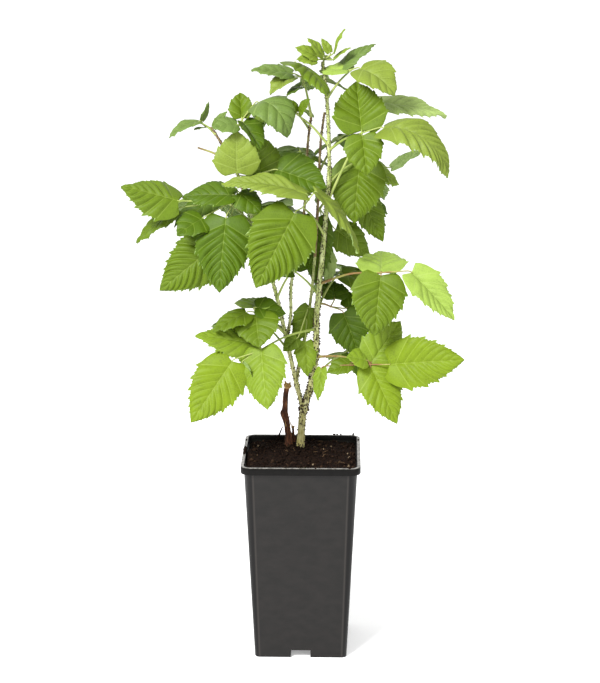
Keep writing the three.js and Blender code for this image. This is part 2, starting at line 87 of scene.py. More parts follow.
SMOOTH_EDGE = 0.4  # the share of the lumps that is left at the wall
GROUND = 202
MOUND = (-8, 31)
MOUND_FLAT = 17
MOUND_REACH = 60
SOIL_RIPPLE = (0.8, 0.21, 0.17)  # its height, then its waves along x and y, in radians a millimetre
BANK = (-56, 0, 9, 17)  # compost heaped against the left wall: its x and y, then its reach along each
BANK_HEIGHT = 5
CRUMBS = 900
CRUMB_SIZE = (0.5, 1.6)  # the least size, and how much is added at most
MOSTLY_SMALL = 2.5
PALE_CRUMBS = 0.16  # the share of them that is pale
PALE_FOOT_CRUMBS = 0.3
FOOT_CRUMBS = 110  # clods round the foot of the canes
FOOT_REACH = (2, 11)
FOOT_CRUMB_SIZE = (0.7, 1.5)
PALE_BITS = ((47, 12, 1.2), (49, -6, 1.5), (48, -30, 1.3), (22, 20, 1.0), (30, 32, 1.1),
             (-46, 30, 1.0), (12, -28, 0.9))  # each one's x, y and size
RIM_CRUMBS = ((33, 58.8, 1.2), (36, 59, 1.2), (40, 58.7, 1.1), (53, 58.9, 1.3), (15, -58.8, 1.0),
              (49, -58.7, 1.1), (-58.2, 9, 1.5), (-58, 6, 1.8), (-58.3, 2, 1.9), (-58, -2, 1.8),
              (-58.2, -6, 1.9), (-58.1, -10, 1.6), (58.2, 40, 1.2), (-58.4, 38, 0.9))
STRAWS = 34
STRAW_LENGTH = (2.5, 7)
TWIG = ((-29, 44, 201), (-25, 45, 209), (-21, 46, 219))
TWIG_RADII = (0.8, 0.85, 0.5)

# ---- canes: points up the cane, radius at its foot and at its tip ----
CANES = {
    "main": ([[-2, 30, 202.3], [1, 29, 241], [9, 26, 270], [14, 24, 304], [15, 20, 345], [20, 15, 403],
              [24, 11, 449], [27, 8, 500], [25, 6, 560], [20, 5, 602]], 4.0, 1.3),
    "left": ([[1, 29, 241], [-8, 27, 280], [-18, 23, 328], [-30, 20, 380], [-50, 18, 444], [-68, 14, 500],
              [-80, 12, 521], [-90, 10, 537]], 2.4, 1.0),
    "middle": ([[-7, 28, 267], [-2, 36, 297], [4, 39, 325], [11, 40, 382], [15, 36, 445], [18, 30, 515],
                [22, 26, 550]], 1.9, 1.1),
    "third": ([[-17, 25, 314], [-12, 34, 341], [-11, 40, 377], [1, 44, 443], [5, 38, 513],
               [9, 32, 547]], 1.7, 1.2),
}
STUBS = {
    "old_stub": ([[-14, 34, 202.3], [-15, 34, 219], [-18, 34, 237], [-17, 33, 257],
                  [-15, 32, 269]], 3.4, 2.6),
    "small_stub": ([[-9, 38, 202.3], [-10, 38, 222]], 1.6, 1.1),
}
REDDER = {"main": 700, "left": 470, "middle": 400, "third": 430}  # a cane is redder above this height
CANE_RINGS = 150
CANE_SIDES = 14
CANE_BUMPS = ((0.07, 1.6), (0.03, 5))  # each layer's height, as a share of the radius, and its fineness
FORKS = {"main": [243], "left": [268, 315]}  # the heights where another cane leaves a cane
LEAF_SWELLING = (0.12, 2.2)  # how much, as a share of the radius, and how far along the cane
FORK_SWELLING = (0.3, 3.5)
MOST_SWELLINGS = 1.2  # where the swellings of several leaves meet
PRICKLES = {"main": 2100, "left": 700, "middle": 520, "third": 440}
CLEAN_FOOT = {"main": 0.1, "left": 0.03, "middle": 0.03, "third": 0.03}  # almost bare from 0 to here
FEW = 0.2  # the share of the prickles there that grow
CROWDED_LOW = 1.25
PRICKLE_LENGTH = (1.1, 2.4)
PRICKLE_WIDTH = (0.42, 0.74)  # half the width of a foot, on a cane of this radius
PRICKLE_RADIUS = 3.2
PRICKLE_ROOT = 0.93  # where it starts, as a share of the cane's radius
PRICKLE_FOOT = 1.3  # how much longer its foot is than wide
PRICKLE_LEAN = 0.35
STUB_RINGS = 46
STUB_SIDES = 18
STUB_BUMPS = ((0.26, 1), (0.10, 4))
STUB_FLARE = (0.45, 3)  # as a share of the radius, and over this many rings
TORN_TOP = (1.2, 1.45, 1.6, 1.45, 0.95)  # how a stub's last five rings widen and close
KNOTS = {"old_stub": 237, "small_stub": 230}
KNOT_SIZE = (0.75, 4)  # its height as a share of the radius, and its reach
SPLINTERS = {"old_stub": 10, "small_stub": 2}
SPLINTER_TURN = 2.4  # radians from one to the next
TOP_SPLINTER = (2.0, 4.5)
SIDE_SPLINTER = (4, 9)
FLARE = 0.14
FLARE_HEIGHT = 6

# ---- leaves ----
PETIOLE_RADIUS = (1.3, 0.85)
PETIOLE_RINGS = 16
PETIOLE_SIDES = 8
PETIOLE_FOOT = (0.5, 1.5)  # how much thicker its foot is, and over how many rings
PETIOLE_RISE = 0.06
STALK_RADIUS = (0.75, 0.55)
STALK_SIDES = 6
STALK_RINGS = 10
FORK_RADIUS = 1.25
HUB = (0, 0, 0)  # the stalk of a leaflet that sits where its petiole ends
ELBOW = 2.5
USUAL_SHAPE = (14, 6)  # degrees that a midrib bends and that each half of a blade is raised
ROUND_BASE = 0.42
DRAWN_TIP = 0.95
WIDEST = ROUND_BASE / (ROUND_BASE + DRAWN_TIP)
SWEEP = 0.8
# A leaf grown by rule, as shares of the length of its end leaflet.
GROWN_PETIOLE = 0.85
GROWN_STALK = 0.28
GROWN_WIDTH = 0.76
GROWN_SIDE = (0.82, 0.56)  # length and width of a side leaflet

# leaf, its cane, height where its petiole leaves, petiole [heading, rise, length], then its leaflets:
# stalk [x, y, z] or HUB, [heading, rise, roll], [length, width] and, where not usual, [arch, fold].
# Headings turn from +X towards +Y, and an upper side that faces straight up has a roll of 0.
LEAVES = [
    ["right_low", "main", 300, [-36, 2, 68], [
        [[17, -7, 2], [-12, 7, 72], [76, 52]],
        [HUB, [40, 44, 50], [54, 42]],
        [HUB, [-33, -60, 46], [63, 42], [22, 4]],
        [[-1, 0, 4], [-160, 14, -40], [22, 26]],
        [[-17, 8, 0], [-165, -18, -34], [26, 22]],
        [[-48, 9, -4], [-110, -70, 14], [33, 17]]]],
    ["right_mid", "main", 378, [-31, 15, 74], [
        [[28, -8, 4], [-18, -45, 44], [63, 36], [12, 20]],
        [HUB, [88, 11, 0], [55, 50]],
        [HUB, [-106, -68, -12], [61, 54]]]],
    ["right_dark", "main", 357, [40, -18, 18], [
        [[12, 0, -4], [-24, -67, 62], [48, 40]],
        [[14, 4, -3], [36, 10, 30], [38, 28]],
        [[4, 2, 7], [94, 16, 6], [38, 32]]]],
    ["left_low", "main", 330, [-147, -12, 72], [
        [[-23, -6, -6], [-150, -51, -58], [74, 52], [12, 2]],
        [[4, 0, 6], [-76, -62, 30], [63, 48], [12, 0]],
        [[-15, -3, -9], [-33, -66, -60], [28, 24]]]],
    ["left_mid", "left", 324, [-143, 37, 46], [
        [[6, 0, -34], [-161, 13, -47], [68, 38], [8, -6]],
        [HUB, [-80, -48, 12], [38, 46]],
        [[-7, 0, 1], [-150, -22, -16], [41, 32], [14, 0]],
        [[-2, 2, 5], [13, -14, 40], [32, 30]],
        [[-2, 2, 3], [90, 2, 0], [42, 40]]]],
    ["centre_front", "main", 429, [-119, 39, 54], [
        [[-7, -3, -3], [-139, -54, -48], [84, 66], [10, -4]],
        [[5, 0, 13], [175, 6, -12], [84, 44], [25, 6]],
        [[12, 0, 17], [17, -55, 22], [77, 38], [25, 6]]]],
    ["right_upper", "main", 515, [-41, 26, 47], [
        [[19, -6, 7], [-13, -36, 25], [79, 49], [108, 0]],
        [HUB, [106, 66, -15], [50, 52], [14, 16]],
        [HUB, [-66, -72, 24], [40, 38], [20, 14]]]],
    ["right_top", "main", 462, [4, 62, 104], [
        [[-4, 2, 8], [5, -11, 24], [73, 39]],
        [[-13, 8, 0], [60, -60, 40], [30, 26]]]],
    ["right_blue", "main", 482, [30, 30, 42], [
        [HUB, [-112, -76, -14], [62, 58], [20, 6]],
        [[0, 4, -36], [5, -64, 84], [52, 30], [12, 4]],
        [[4, 2, -5], [31, -30, 40], [46, 32], [12, 4]],
        [[29, -6, -8], [8, 27, -40], [36, 20]]]],
    ["top_right", "main", 566, [-31, 47, 40], [
        [[7, -2, 3], [-26, -33, 28], [45, 42], [60, 10]],
        [[-12, 8, 0], [18, 32, 20], [42, 24]],
        [HUB, [150, -4, -20], [34, 30]]]],
    ["top_left", "third", 545, [-112, 62, 46], [
        [[-8, -7, 17], [-56, -26, -26], [62, 54], [40, -12]],
        [[-8, 0, 4], [-168, 6, -30], [41, 23]],
        [[-8, 0, 2], [-150, -32, -20], [30, 24], [50, 15]],
        [[0, -2, -8], [-141, -22, 0], [19, 16]]]],
    ["top_tuft", "main", 596, [60, 80, 8], [
        [[9, -6, 6], [-20, 64, 30], [25, 12]],
        [[8, -6, 0], [-14, 34, 20], [20, 13]],
        [[1, -6, 2], [-165, 48, -40], [24, 18]],
        [[-4, -8, 3], [-165, 22, -50], [24, 17]],
        [[-5, -10, 1], [-162, 2, -50], [20, 14]],
        [[7, -2, 5], [165, 58, -60], [16, 9]],
        [[8, 4, 0], [150, 12, 0], [14, 10]]]],
    ["left_arch", "left", 512, [-22, 64, 36], [
        [[15, -6, 20], [-26, -46, 30], [46, 43], [150, -4]],
        [HUB, [99, 56, -10], [28, 24], [15, 25]],
        [HUB, [-35, -50, 6], [34, 28], [15, 25]],
        [[-2, -2, -4], [-160, -4, -40], [26, 22]]]],
    ["small_mid", "main", 519, [-167, 45, 45], [
        [HUB, [-34, 47, 60], [20, 16]],
        [HUB, [-153, 58, -60], [16, 14]]]],
    ["left_light", "left", 478, [34, 35, 14], [
        [[24, -8, 9], [-20, -16, 50], [55, 48]],
        [[-13, -20, 4], [95, 86, -8], [42, 46]],
        [[9, 2, 1], [98, 58, -8], [42, 44]]]],
    ["left_big", "left", 455, [-114, 24, 31], [
        [[-54, -4, -1], [-176, 15, -46], [58, 46], [6, -20]],
        [[0, 0, 5], [172, -4, -28], [52, 40], [15, 5]],
        [[2, 0, 9], [-24, -38, 30], [31, 30], [15, -10]],
        [[-9, -8, -14], [-103, -69, -8], [75, 58], [14, -6]],
        [[-11, 6, -39], [-170, -38, -72], [82, 56], [8, -6]],
        [[-31, 0, -17], [-142, -25, -34], [34, 34]],
        [[-58, 12, -10], [177, -40, -26], [54, 34]]]],
    ["back_mid", "middle", 445, [80, 10, 16], [
        [[-4, 0, -6], [-88, -84, 4], [70, 36]],
        [[14, 4, -20], [6, -38, 74], [45, 34]],
        [[6, 3, -42], [-60, -80, 20], [33, 20]]]],
    ["low_small", "middle", 337, [-89, 61, 14], [
        [[3, -1, 3], [180, -67, -78], [40, 25]],
        [[-9, -16, -26], [-172, -43, -70], [20, 16]],
        [[-3, -8, -31], [-74, -74, 16], [36, 23]]]],
    ["centre_low", "main", 366, [186, 46, 34], [
        [HUB, [190, 12, -30], [34, 28]],
        [HUB, [60, 10, 0], [24, 20]]]],
    ["thin_stalk", "left", 362, [-20, 62, 30], []],
    ["bare_stalk", "left", 498, [172, 25, 41], []],
    ["shoot", "left", 530, [168, 36, 18], [
        [HUB, [0, 70, 150], [20, 11]],
        [[0, -3, 3], [-153, -24, -10], [35, 18], [40, 10]],
        [[11, 0, -6], [-12, 50, 60], [21, 11]],
        [[5, 0, -4], [-135, -5, 0], [14, 9]]]],
]

# leaf, its cane, height where its petiole leaves, heading, length of its end leaflet, seed
BACK_LEAVES = [
    ["back_low_right", "main", 276, 36, 60, 3],
    ["back_low_left", "left", 305, 136, 60, 5],
    ["back_mid_right", "main", 352, 62, 66, 7],
    ["back_mid_left", "left", 384, 134, 60, 11],
    ["back_centre", "third", 412, 112, 66, 13],
    ["back_left", "left", 436, 140, 66, 17],
    ["back_right", "middle", 448, 58, 66, 19],
    ["back_high_left", "left", 462, 75, 50, 23],
    ["back_high", "third", 475, 100, 56, 29],
    ["back_high_right", "middle", 490, 56, 55, 31],
    ["back_top_left", "third", 532, 128, 50, 37],
    ["back_top", "main", 566, 104, 38, 41],
]
# Colours of the leaves' upper sides: partly their own greens and partly painted light and shade, since each
# leaflet takes a lighter or darker green by how lit or shaded it is.
GREENS = {
    "bright": (92, 111, 15),
    "fresh": (94, 114, 26),
    "soft": (98, 113, 40),
    "light": (117, 138, 58),
    "mid": (74, 93, 14),
    "deep": (59, 80, 7),
    "blue": (81, 100, 45),
    "pale": (124, 142, 80),
    "young": (96, 114, 34),
}
# The greens of each leaf's leaflets in order, with painted light and shade; the last one serves for the
# rest.
LEAF_GREENS = {
    "right_low": "bright fresh bright fresh mid fresh",
    "right_mid": "light light mid",
    "right_dark": "deep",
    "left_low": "bright fresh mid",
    "left_mid": "fresh mid mid deep light",
    "centre_front": "mid soft soft",
    "right_upper": "soft mid mid",
    "right_top": "pale fresh",
    "right_blue": "mid mid fresh pale",
    "top_right": "soft blue light",
    "top_left": "mid blue soft deep",
    "top_tuft": "young",
    "left_arch": "blue mid deep blue",
    "small_mid": "mid",
    "left_light": "deep soft mid",
    "left_big": "mid deep deep deep mid deep mid",
    "back_mid": "deep mid pale",
    "centre_low": "deep",
    "low_small": "mid mid fresh",
    "shoot": "blue",
}
BACK_GREENS = ("mid", "deep", "fresh")
VEIN_PALE = (158, 172, 104)
VEIN_SHARE = 0.27  # how far a vein's colour is on its way from the blade's to that pale one
YOUNG_LEAVES = ["top_tuft", "shoot", "top_right"]
BARE_STALKS = [row[0] for row in LEAVES if not row[4]]
RED_STALKS = ["right_low", "right_mid", "right_dark", "bare_stalk"]

# ---- a blade's grid ----
VEIN_SPACING = 10.5
FEWEST_VEINS = 3
MOST_VEINS = 8
BASE_ROWS = (0.0, 0.0012, 0.005, 0.016, 0.034, 0.052)
FIRST_VEIN = 0.08
LAST_VEIN = 0.93
TIP_ROWS = (0.957, 0.982)
PHASES = (-0.03, 0.03, 0.13, 0.29, 0.39, 0.55, 0.66, 0.80)  # rows of the grid between two side veins
VEIN_START, VEIN_END = PHASES[0] % 1, PHASES[1]
TEETH = (0.85, 1.0, -0.45, 0.0, -0.5, 0.25, -0.25, 0.4)  # how far the margin stands out at each
HALF_COLUMNS = (0.018, 0.10, 0.22, 0.35, 0.48, 0.61, 0.74, 0.86, 0.94, 1.0)
ACROSS = np.array([[-c for c in reversed(HALF_COLUMNS)] + [0.0, *HALF_COLUMNS]])
APART = np.abs(ACROSS)
TOOTH_SIZE = 0.034
TOOTH_RANGE = (0.7, 0.6)  # the least tooth, and how much is added at most, as shares of the usual one
TOOTH_LEAN = 0.5
TOOTHLESS = (0.2, 0.35)  # the shares of the length over which the teeth fade out at the base and the tip
LOBE = 0.10  # how far back the base's two lobes reach, as a share of the length
BLADE_THICKNESS = 0.4
RIB = 0.35  # how far a vein stands out under a blade
MIDRIB_WIDTH = 0.05  # as a share of the blade's
QUILT = 0.042  # how high the blade stands between its side veins, as a share of the length
FLATTER = 0.025
DEEPER = 0.058
QUILT_REACH = 0.84  # at 1 it would end at the margin, and here some of it is left there
FLAT_LEAFLETS = {"left_low": (0, 1), "left_mid": (0,), "right_low": (0, 2), "right_mid": (0, 1),
                 "left_light": (1,)}
PLEATED_LEAFLETS = {"centre_front": (0,), "right_upper": (0, 1, 2), "left_arch": (0, 1), "left_big": (0, 3),
                    "right_blue": (0,), "right_mid": (2,), "top_right": (1,)}
RIPPLE = 0.017  # waves of the margin, as a share of the length
LONG_WAVES = 1.3  # the least number of waves from base to tip
SHORT_WAVES = 2.2
SHORT_WAVE_HEIGHT = 0.7
MARGIN_DROP = 0.03
MIDRIB_DROP = (0.012, 0.06)  # its depth as a share of the length, its reach as one of half the width
MOST_TWIST = 16  # degrees between the base and the tip


# ---- small geometry ----

def unit(v):
    return v / np.linalg.norm(v)


def direction(heading, rise):
    h, r = math.radians(heading), math.radians(rise)
    return np.array([math.cos(r) * math.cos(h), math.cos(r) * math.sin(h), math.sin(r)])


def spline(points, count):
    """Count + 1 points on a Catmull-Rom curve through the points."""
    p = np.asarray(points, float)
    p = np.vstack([2 * p[0] - p[1], p, 2 * p[-1] - p[-2]])
    out = []
    spans = len(points) - 1
    for i in range(count + 1):
        t = i / count * spans
        k = min(int(t), spans - 1)
        u = t - k
        a, b, c, d = p[k:k + 4]
        out.append(0.5 * (2 * b + (c - a) * u + (2 * a - 5 * b + 4 * c - d) * u ** 2
                          + (3 * b - a - 3 * c + d) * u ** 3))
    return np.array(out)


def point_on_cane(cane, height):
    points = spline(CANES[cane][0], 200)
    return np.array([np.interp(height, points[:, 2], points[:, axis]) for axis in range(3)])


def seeded(seed):
    """Random numbers from 0 to 1, the same in any language."""
    state = seed * 7919 + 1

    def draw():
        nonlocal state
        state = state * 16807 % 2147483647
        return state / 2147483647
    return draw


def linear(rgb):
    """A colour given as 8-bit sRGB, as the shader's linear RGBA."""
    shares = [c / 255 for c in rgb]
    return (*[s / 12.92 if s < 0.04045 else ((s + 0.055) / 1.055) ** 2.4 for s in shares], 1.0)


class Mesh:
    """Vertices and faces gathered from many small parts of one piece."""

    def __init__(self):
        self.vertices = []
        self.faces = []
        self.materials = []
        self.count = 0

    def add(self, vertices, faces, material=0):
        """Adds a part; material is one index for all its faces, or a list with one for each."""
        self.vertices.append(np.asarray(vertices, float))
        self.faces.extend([tuple(self.count + i for i in face) for face in faces])
        self.materials.extend(material if isinstance(material, list) else [material] * len(faces))
        self.count += len(vertices)

    def piece(self, name, materials, nodes, slot, smooth=True):
        """Makes the object, with its materials and the CAD nodes that it takes the place of.
        Its finish, slot, is not used.
        """
        mesh = bpy.data.meshes.new(name)
        mesh.from_pydata((np.vstack(self.vertices) * MM).tolist(), [], self.faces)
        mesh.polygons.foreach_set("material_index", self.materials)
        mesh.polygons.foreach_set("use_smooth", [smooth] * len(self.faces))
        for material in materials:
            mesh.materials.append(material)
        mesh.update()
        mesh.set_sharp_from_angle(angle=math.radians(60))
        made = bpy.data.objects.new(name, mesh)
        bpy.context.scene.collection.objects.link(made)
        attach(made, "root")
        if nodes:
            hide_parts(*nodes)
        return made


def tube(points, radii, sides, relief=None):
    """The vertices and faces of a round limb; relief(ring, side) scales the radius at a vertex."""
    points = np.asarray(points, float)
    along = np.gradient(points, axis=0)
    facing = np.array([1.0, 0.0, 0.0]) if abs(unit(along[0])[0]) < 0.9 else np.array([0.0, 1.0, 0.0])
    vertices = []
    for ring, (centre, way, radius) in enumerate(zip(points, along, radii)):
        way = unit(way)
        facing = unit(facing - way * (facing @ way))
        out = np.cross(way, facing)
        for side in range(sides):
            angle = TURN * side / sides
            r = radius * (relief(ring, side) if relief else 1)
            vertices.append(centre + r * (facing * math.cos(angle) + out * math.sin(angle)))
    faces = []
    for ring in range(len(points) - 1):
        faces += ring_faces(ring * sides, (ring + 1) * sides, sides)
    last = (len(points) - 1) * sides
    faces.append(tuple(reversed(range(sides))))
    faces.append(tuple(range(last, last + sides)))
    return vertices, faces


def ring_faces(first, second, count):
    """The faces between two rings of count vertices, which start at first and at second."""
    return [(first + i, first + (i + 1) % count, second + (i + 1) % count, second + i) for i in range(count)]


def bumps(layers, at):
    """Layers of noise at a place, each given as its height and its fineness."""
    return sum(high * noise.noise(at * fine) for high, fine in layers)


# ---- materials ----

class Shader:
    """A Principled material whose colour and relief are built up from noise in the object's own space."""

    def __init__(self, name, roughness, specular):
        self.material = bpy.data.materials.new(name)
        self.material.use_nodes = True
        self.tree = self.material.node_tree
        self.surface = self.tree.nodes["Principled BSDF"].inputs
        self.surface["Roughness"].default_value = roughness
        self.surface["Specular IOR Level"].default_value = specular
        self.place = self.node("TexCoord", {})["Object"]

    def node(self, kind, inputs, **settings):
        """The outputs of a new node, each of whose inputs is linked to a socket or set to a value."""
        made = self.tree.nodes.new("ShaderNode" + kind)
        for name, value in settings.items():
            setattr(made, name, value)
        for name, value in inputs.items():
            if isinstance(value, bpy.types.NodeSocket):
                self.tree.links.new(value, made.inputs[name])
            else:
                made.inputs[name].default_value = value
        return made.outputs

    def stretched(self, scale):
        """The same space with each axis scaled, for streaks."""
        return self.node("Mapping", {"Vector": self.place, "Scale": scale})["Vector"]

    def noise(self, size, detail=3.0, where=None):
        """Noise from 0 to 1 whose blotches are about size millimetres across."""
        inputs = {"Vector": where or self.place, "Scale": 1 / (size * MM), "Detail": detail}
        return self.node("TexNoise", inputs)["Fac"]

    def cells(self, size):
        """The distance to the nearest edge of cells that are about size millimetres across."""
        inputs = {"Vector": self.place, "Scale": 1 / (size * MM)}
        return self.node("TexVoronoi", inputs, feature="DISTANCE_TO_EDGE")["Distance"]

    def ramp(self, value, stops):
        """Colours by position: stops are (position, sRGB colour)."""
        node = self.tree.nodes.new("ShaderNodeValToRGB")
        elements = node.color_ramp.elements
        while len(elements) < len(stops):
            elements.new(0.5)
        for element, (position, colour) in zip(elements, stops):
            element.position = position
            element.color = linear(colour)
        self.tree.links.new(value, node.inputs["Fac"])
        return node.outputs["Color"]

    def between(self, value, low, high):
        """How far a value is on its way from low to high, from 0 to 1."""
        return self.node("MapRange", {"Value": value, "From Min": low, "From Max": high})["Result"]

    def mix(self, share, first, second):
        """A colour between two, each a socket or an sRGB colour."""
        first, second = (linear(end) if isinstance(end, tuple) else end for end in (first, second))
        return self.node("Mix", {"Factor": share, 6: first, 7: second}, data_type="RGBA")[2]

    def axis(self, name):
        return self.node("SeparateXYZ", {"Vector": self.place})[name]

    def maths(self, operation, *values):
        """One operation on sockets or plain numbers."""
        return self.node("Math", dict(enumerate(values)), operation=operation)["Value"]

    def colour(self, socket):
        self.tree.links.new(socket, self.surface["Base Color"])

    def relief(self, *layers):
        """Stacks bumps, each given as (height, strength, how high in millimetres)."""
        below = {}
        for height, strength, high in layers:
            inputs = {"Height": height, "Strength": strength, "Distance": high * MM}
            below = {"Normal": self.node("Bump", inputs | below)["Normal"]}
        self.tree.links.new(below["Normal"], self.surface["Normal"])


def mottled(name, finish, grain, stops, bump=None):
    """A material mottled by one noise: its roughness and specular level, the noise's size and detail, its
    colours, and for its relief a noise's size and detail, then its strength and height."""
    made = Shader(name, *finish)
    made.colour(made.ramp(made.noise(*grain), stops))
    if bump:
        size, detail, strength, high = bump
        made.relief((made.noise(size, detail), strength, high))
    return made.material


def shade(colour, factor):
    return tuple(min(255, c * factor) for c in colour)


def blend(first, second, share):
    return tuple(a + (b - a) * share for a, b in zip(first, second))


def leaf_material(name, colour):
    """A leaf's upper side: mottled green with a paler net of small veins between quilted cells."""
    made = Shader(name, 0.5, 0.14)
    blotches = made.ramp(made.noise(9, 4), [(0.3, shade(colour, 0.94)), (0.7, shade(colour, 1.07))])
    cells = made.cells(2.4)
    made.colour(made.mix(made.between(cells, 0.0, 0.16), shade(colour, 1.08), blotches))
    made.relief((cells, 0.3, 0.35), (made.noise(0.9), 0.1, 0.3))
    return made.material


def vein_material(name, colour):
    return mottled(name, (0.5, 0.14), (5,), [(0.3, shade(colour, 0.95)), (0.7, shade(colour, 1.05))])


def under_material():
    """A leaf's under side: pale, matt and felted."""
    made = Shader("leaf_under_side", 0.8, 0.15)
    felt = made.ramp(made.noise(1.2), [(0.3, (100, 124, 60)), (0.7, (122, 144, 82))])
    cells = made.cells(2.1)
    made.colour(made.mix(made.between(cells, 0.0, 0.14), (130, 150, 90), felt))
    made.relief((cells, 0.6, -0.7))
    return made.material


def stalk_material(name, colour, blush):
    """A petiole: green, with a blush that comes and goes along it."""
    return mottled(name, (0.55, 0.3), (14, 2), [(0.4, colour), (0.62, blush)], (0.8, 3, 0.4, 0.3))


def cane_material(name, shadow, bark, bloom):
    """Bark under a pale waxy bloom that is rubbed off in streaks, and browner near the ground. The darkest
    streaks are painted shadow.
    """
    made = Shader(name, 0.6, 0.3)
    streaks = made.noise(2.2, 4, made.stretched((1, 1, 0.22)))
    young = made.ramp(streaks, [(0.3, shadow), (0.45, bark), (0.66, bloom)])
    old = made.ramp(streaks, [(0.3, (118, 104, 52)), (0.45, (156, 148, 90)), (0.68, (184, 178, 130))])
    made.colour(made.mix(made.between(made.axis("Z"), 0.21, 0.36), old, young))
    made.relief((made.noise(1.1, 4, made.stretched((1, 1, 0.3))), 0.6, 0.5))
    return made.material


def prickle_material():
    return mottled("prickles", (0.55, 0.3), (3,), [(0.35, (24, 14, 10)), (0.65, (58, 30, 18))])


def bark_material():
    """Dead bark: dark reddish brown with paler split fibres along it."""
    made = Shader("old_bark", 0.85, 0.2)
    streaks = made.noise(1.3, 5, made.stretched((1, 1, 0.16)))
    made.colour(made.ramp(streaks, [(0.3, (34, 20, 14)), (0.5, (66, 38, 24)), (0.62, (96, 58, 36)),
                                    (0.75, (140, 98, 62))]))
    made.relief((streaks, 1.0, 0.8), (made.noise(0.6), 0.6, 0.4))
    return made.material


def torn_wood_material():
    stops = [(0.3, (104, 76, 42)), (0.7, (178, 146, 92))]
    return mottled("torn_wood", (0.8, 0.2), (1.0, 4), stops, (0.7, 3, 0.8, 0.4))


def body_plastic():
    """Dark recycled plastic: satin, with faint smears across it. Each round corner starts at a paler line of
    painted highlight and is darker past it with painted shade."""
    made = Shader("pot_body", 0.42, 0.18)
    smears = made.noise(12, 6, made.stretched((1, 1, 1.6)))
    panel = made.ramp(smears, [(0.35, (24, 23, 22)), (0.65, (29, 27, 26))])
    out = made.maths("MINIMUM", *(made.maths("ABSOLUTE", made.axis(name)) for name in "XY"))
    start = made.maths("MULTIPLY_ADD", made.axis("Z"), CORNER_SLOPE, CORNER_START * MM)
    past = made.maths("SUBTRACT", out, start)
    # Painted highlight: a paler line just before each round corner.
    panel_with_highlight = made.mix(made.between(past, -1.4 * MM, -0.2 * MM), panel, (44, 41, 39))
    # Painted shade: the round corner is darker past that line.
    made.colour(made.mix(made.between(past, 0.0, 1.6 * MM), panel_with_highlight, (11, 10, 10)))
    made.relief((made.noise(1.1), 0.08, 0.2), (smears, 0.06, 0.5))
    return made.material


def shaded_rim_plastic():
    """The rim's side: the same plastic, blacker with painted shade."""
    # Painted shade: blacker than the body.
    stops = [(0.35, (9, 8, 7)), (0.65, (13, 12, 11))]
    return mottled("pot_rim_painted_shade", (0.4, 0.10), (4, 4), stops, (1.1, 3, 0.08, 0.2))


def dust_and_highlight_lip():
    """The flat top of the rim: polished, and pale partly from dust and partly from a painted highlight."""
    # Dust and painted highlight: the pale colours of the rim's flat top.
    stops = [(0.36, (66, 64, 61)), (0.64, (128, 125, 120))]
    return mottled("pot_lip_dust_and_highlight", (0.2, 0.5), (3, 5), stops, (1.4, 3, 0.15, 0.2))


def soil_material(name, dark, light, grain):
    stops = [(0.36, dark), (0.68, light)]
    return mottled(name, (0.95, 0.06), (grain, 5), stops, (grain * 0.5, 4, 1.0, 0.6))


# ---- one blade ----

def outline(share):
    """How wide a blade is at a share of its length: 1 where it is widest, nothing at both ends."""
    share = np.clip(share, 0, 1)
    widest = WIDEST ** ROUND_BASE * (1 - WIDEST) ** DRAWN_TIP
    return share ** ROUND_BASE * (1 - share) ** DRAWN_TIP / widest


def blade_rows(length):
    """The rows of a blade's grid: each one's place, its phase between two side veins, and its tooth."""
    veins = max(FEWEST_VEINS, min(MOST_VEINS, round(length / VEIN_SPACING)))
    gap = (LAST_VEIN - FIRST_VEIN) / veins
    places = [FIRST_VEIN + (k + phase) * gap for k in range(veins) for phase in PHASES]
    base, tip = [0.0] * len(BASE_ROWS), [0.0] * len(TIP_ROWS)
    phases = [*base, *([p % 1 for p in PHASES] * veins), *tip]
    teeth = [*base, *(TEETH * veins), *tip]
    return [np.array(rows)[:, None] for rows in ([*BASE_ROWS, *places, *TIP_ROWS], phases, teeth)]


def flat_blade(row, size):
    """A flat blade with smooth margins: the share of its length and its width there, and then x and y."""
    length, width = size
    share = row + SWEEP * APART * np.sqrt(row) * (1 - row)
    wide = outline(share)
    lobe = np.where(share < WIDEST, np.sin(np.pi * wide), 0)
    return share, wide, share * length - LOBE * length * APART ** 1.5 * lobe, ACROSS * width / 2 * wide


def cut_teeth(x, y, share, teeth, length, draw):
    """Moves both margins of a flat blade out to its teeth, and in between them."""
    base, tip = TOOTHLESS
    least, more = TOOTH_RANGE
    for column, way in ((0, -1), (-1, 1)):
        edge = np.stack([x[:, column], y[:, column]], 1)
        run = np.gradient(edge, axis=0)
        run /= np.maximum(np.linalg.norm(run, axis=1, keepdims=True), 1e-6)
        outward = np.stack([-run[:, 1], run[:, 0]], 1) * way
        at = share[:, [column]]
        fade = np.minimum(1, at / base) * np.minimum(1, (1 - at) / tip)
        stand = teeth * TOOTH_SIZE * length * fade * (least + more * np.array([[draw()] for _ in teeth]))
        edge += outward * stand + run * np.maximum(stand, 0) * TOOTH_LEAN
        x[:, column], y[:, column] = edge.T


def wave(row, least, draw):
    """A wave from base to tip, whose length and start are drawn."""
    return np.sin(TURN * (row * (least + draw()) + draw()))


def blade_height(row, phase, wide, quilt, draw):
    """How far a blade stands off its plane, as a share of its length: quilted between its side veins, waved
    and dropped at its margins and sunk at its midrib."""
    puff = np.sin(np.pi * phase) ** 0.8 * np.sin(np.pi * QUILT_REACH * APART) ** 0.6
    ripple = wave(row, LONG_WAVES, draw) * APART * ACROSS
    ripple += SHORT_WAVE_HEIGHT * wave(row, SHORT_WAVES, draw) * APART ** 3
    deep, reach = MIDRIB_DROP
    dip = deep * np.exp(-(APART / reach) ** 2) * (1 - row)
    return quilt * puff * wide ** 0.5 + RIPPLE * ripple - MARGIN_DROP * APART ** 4 - dip


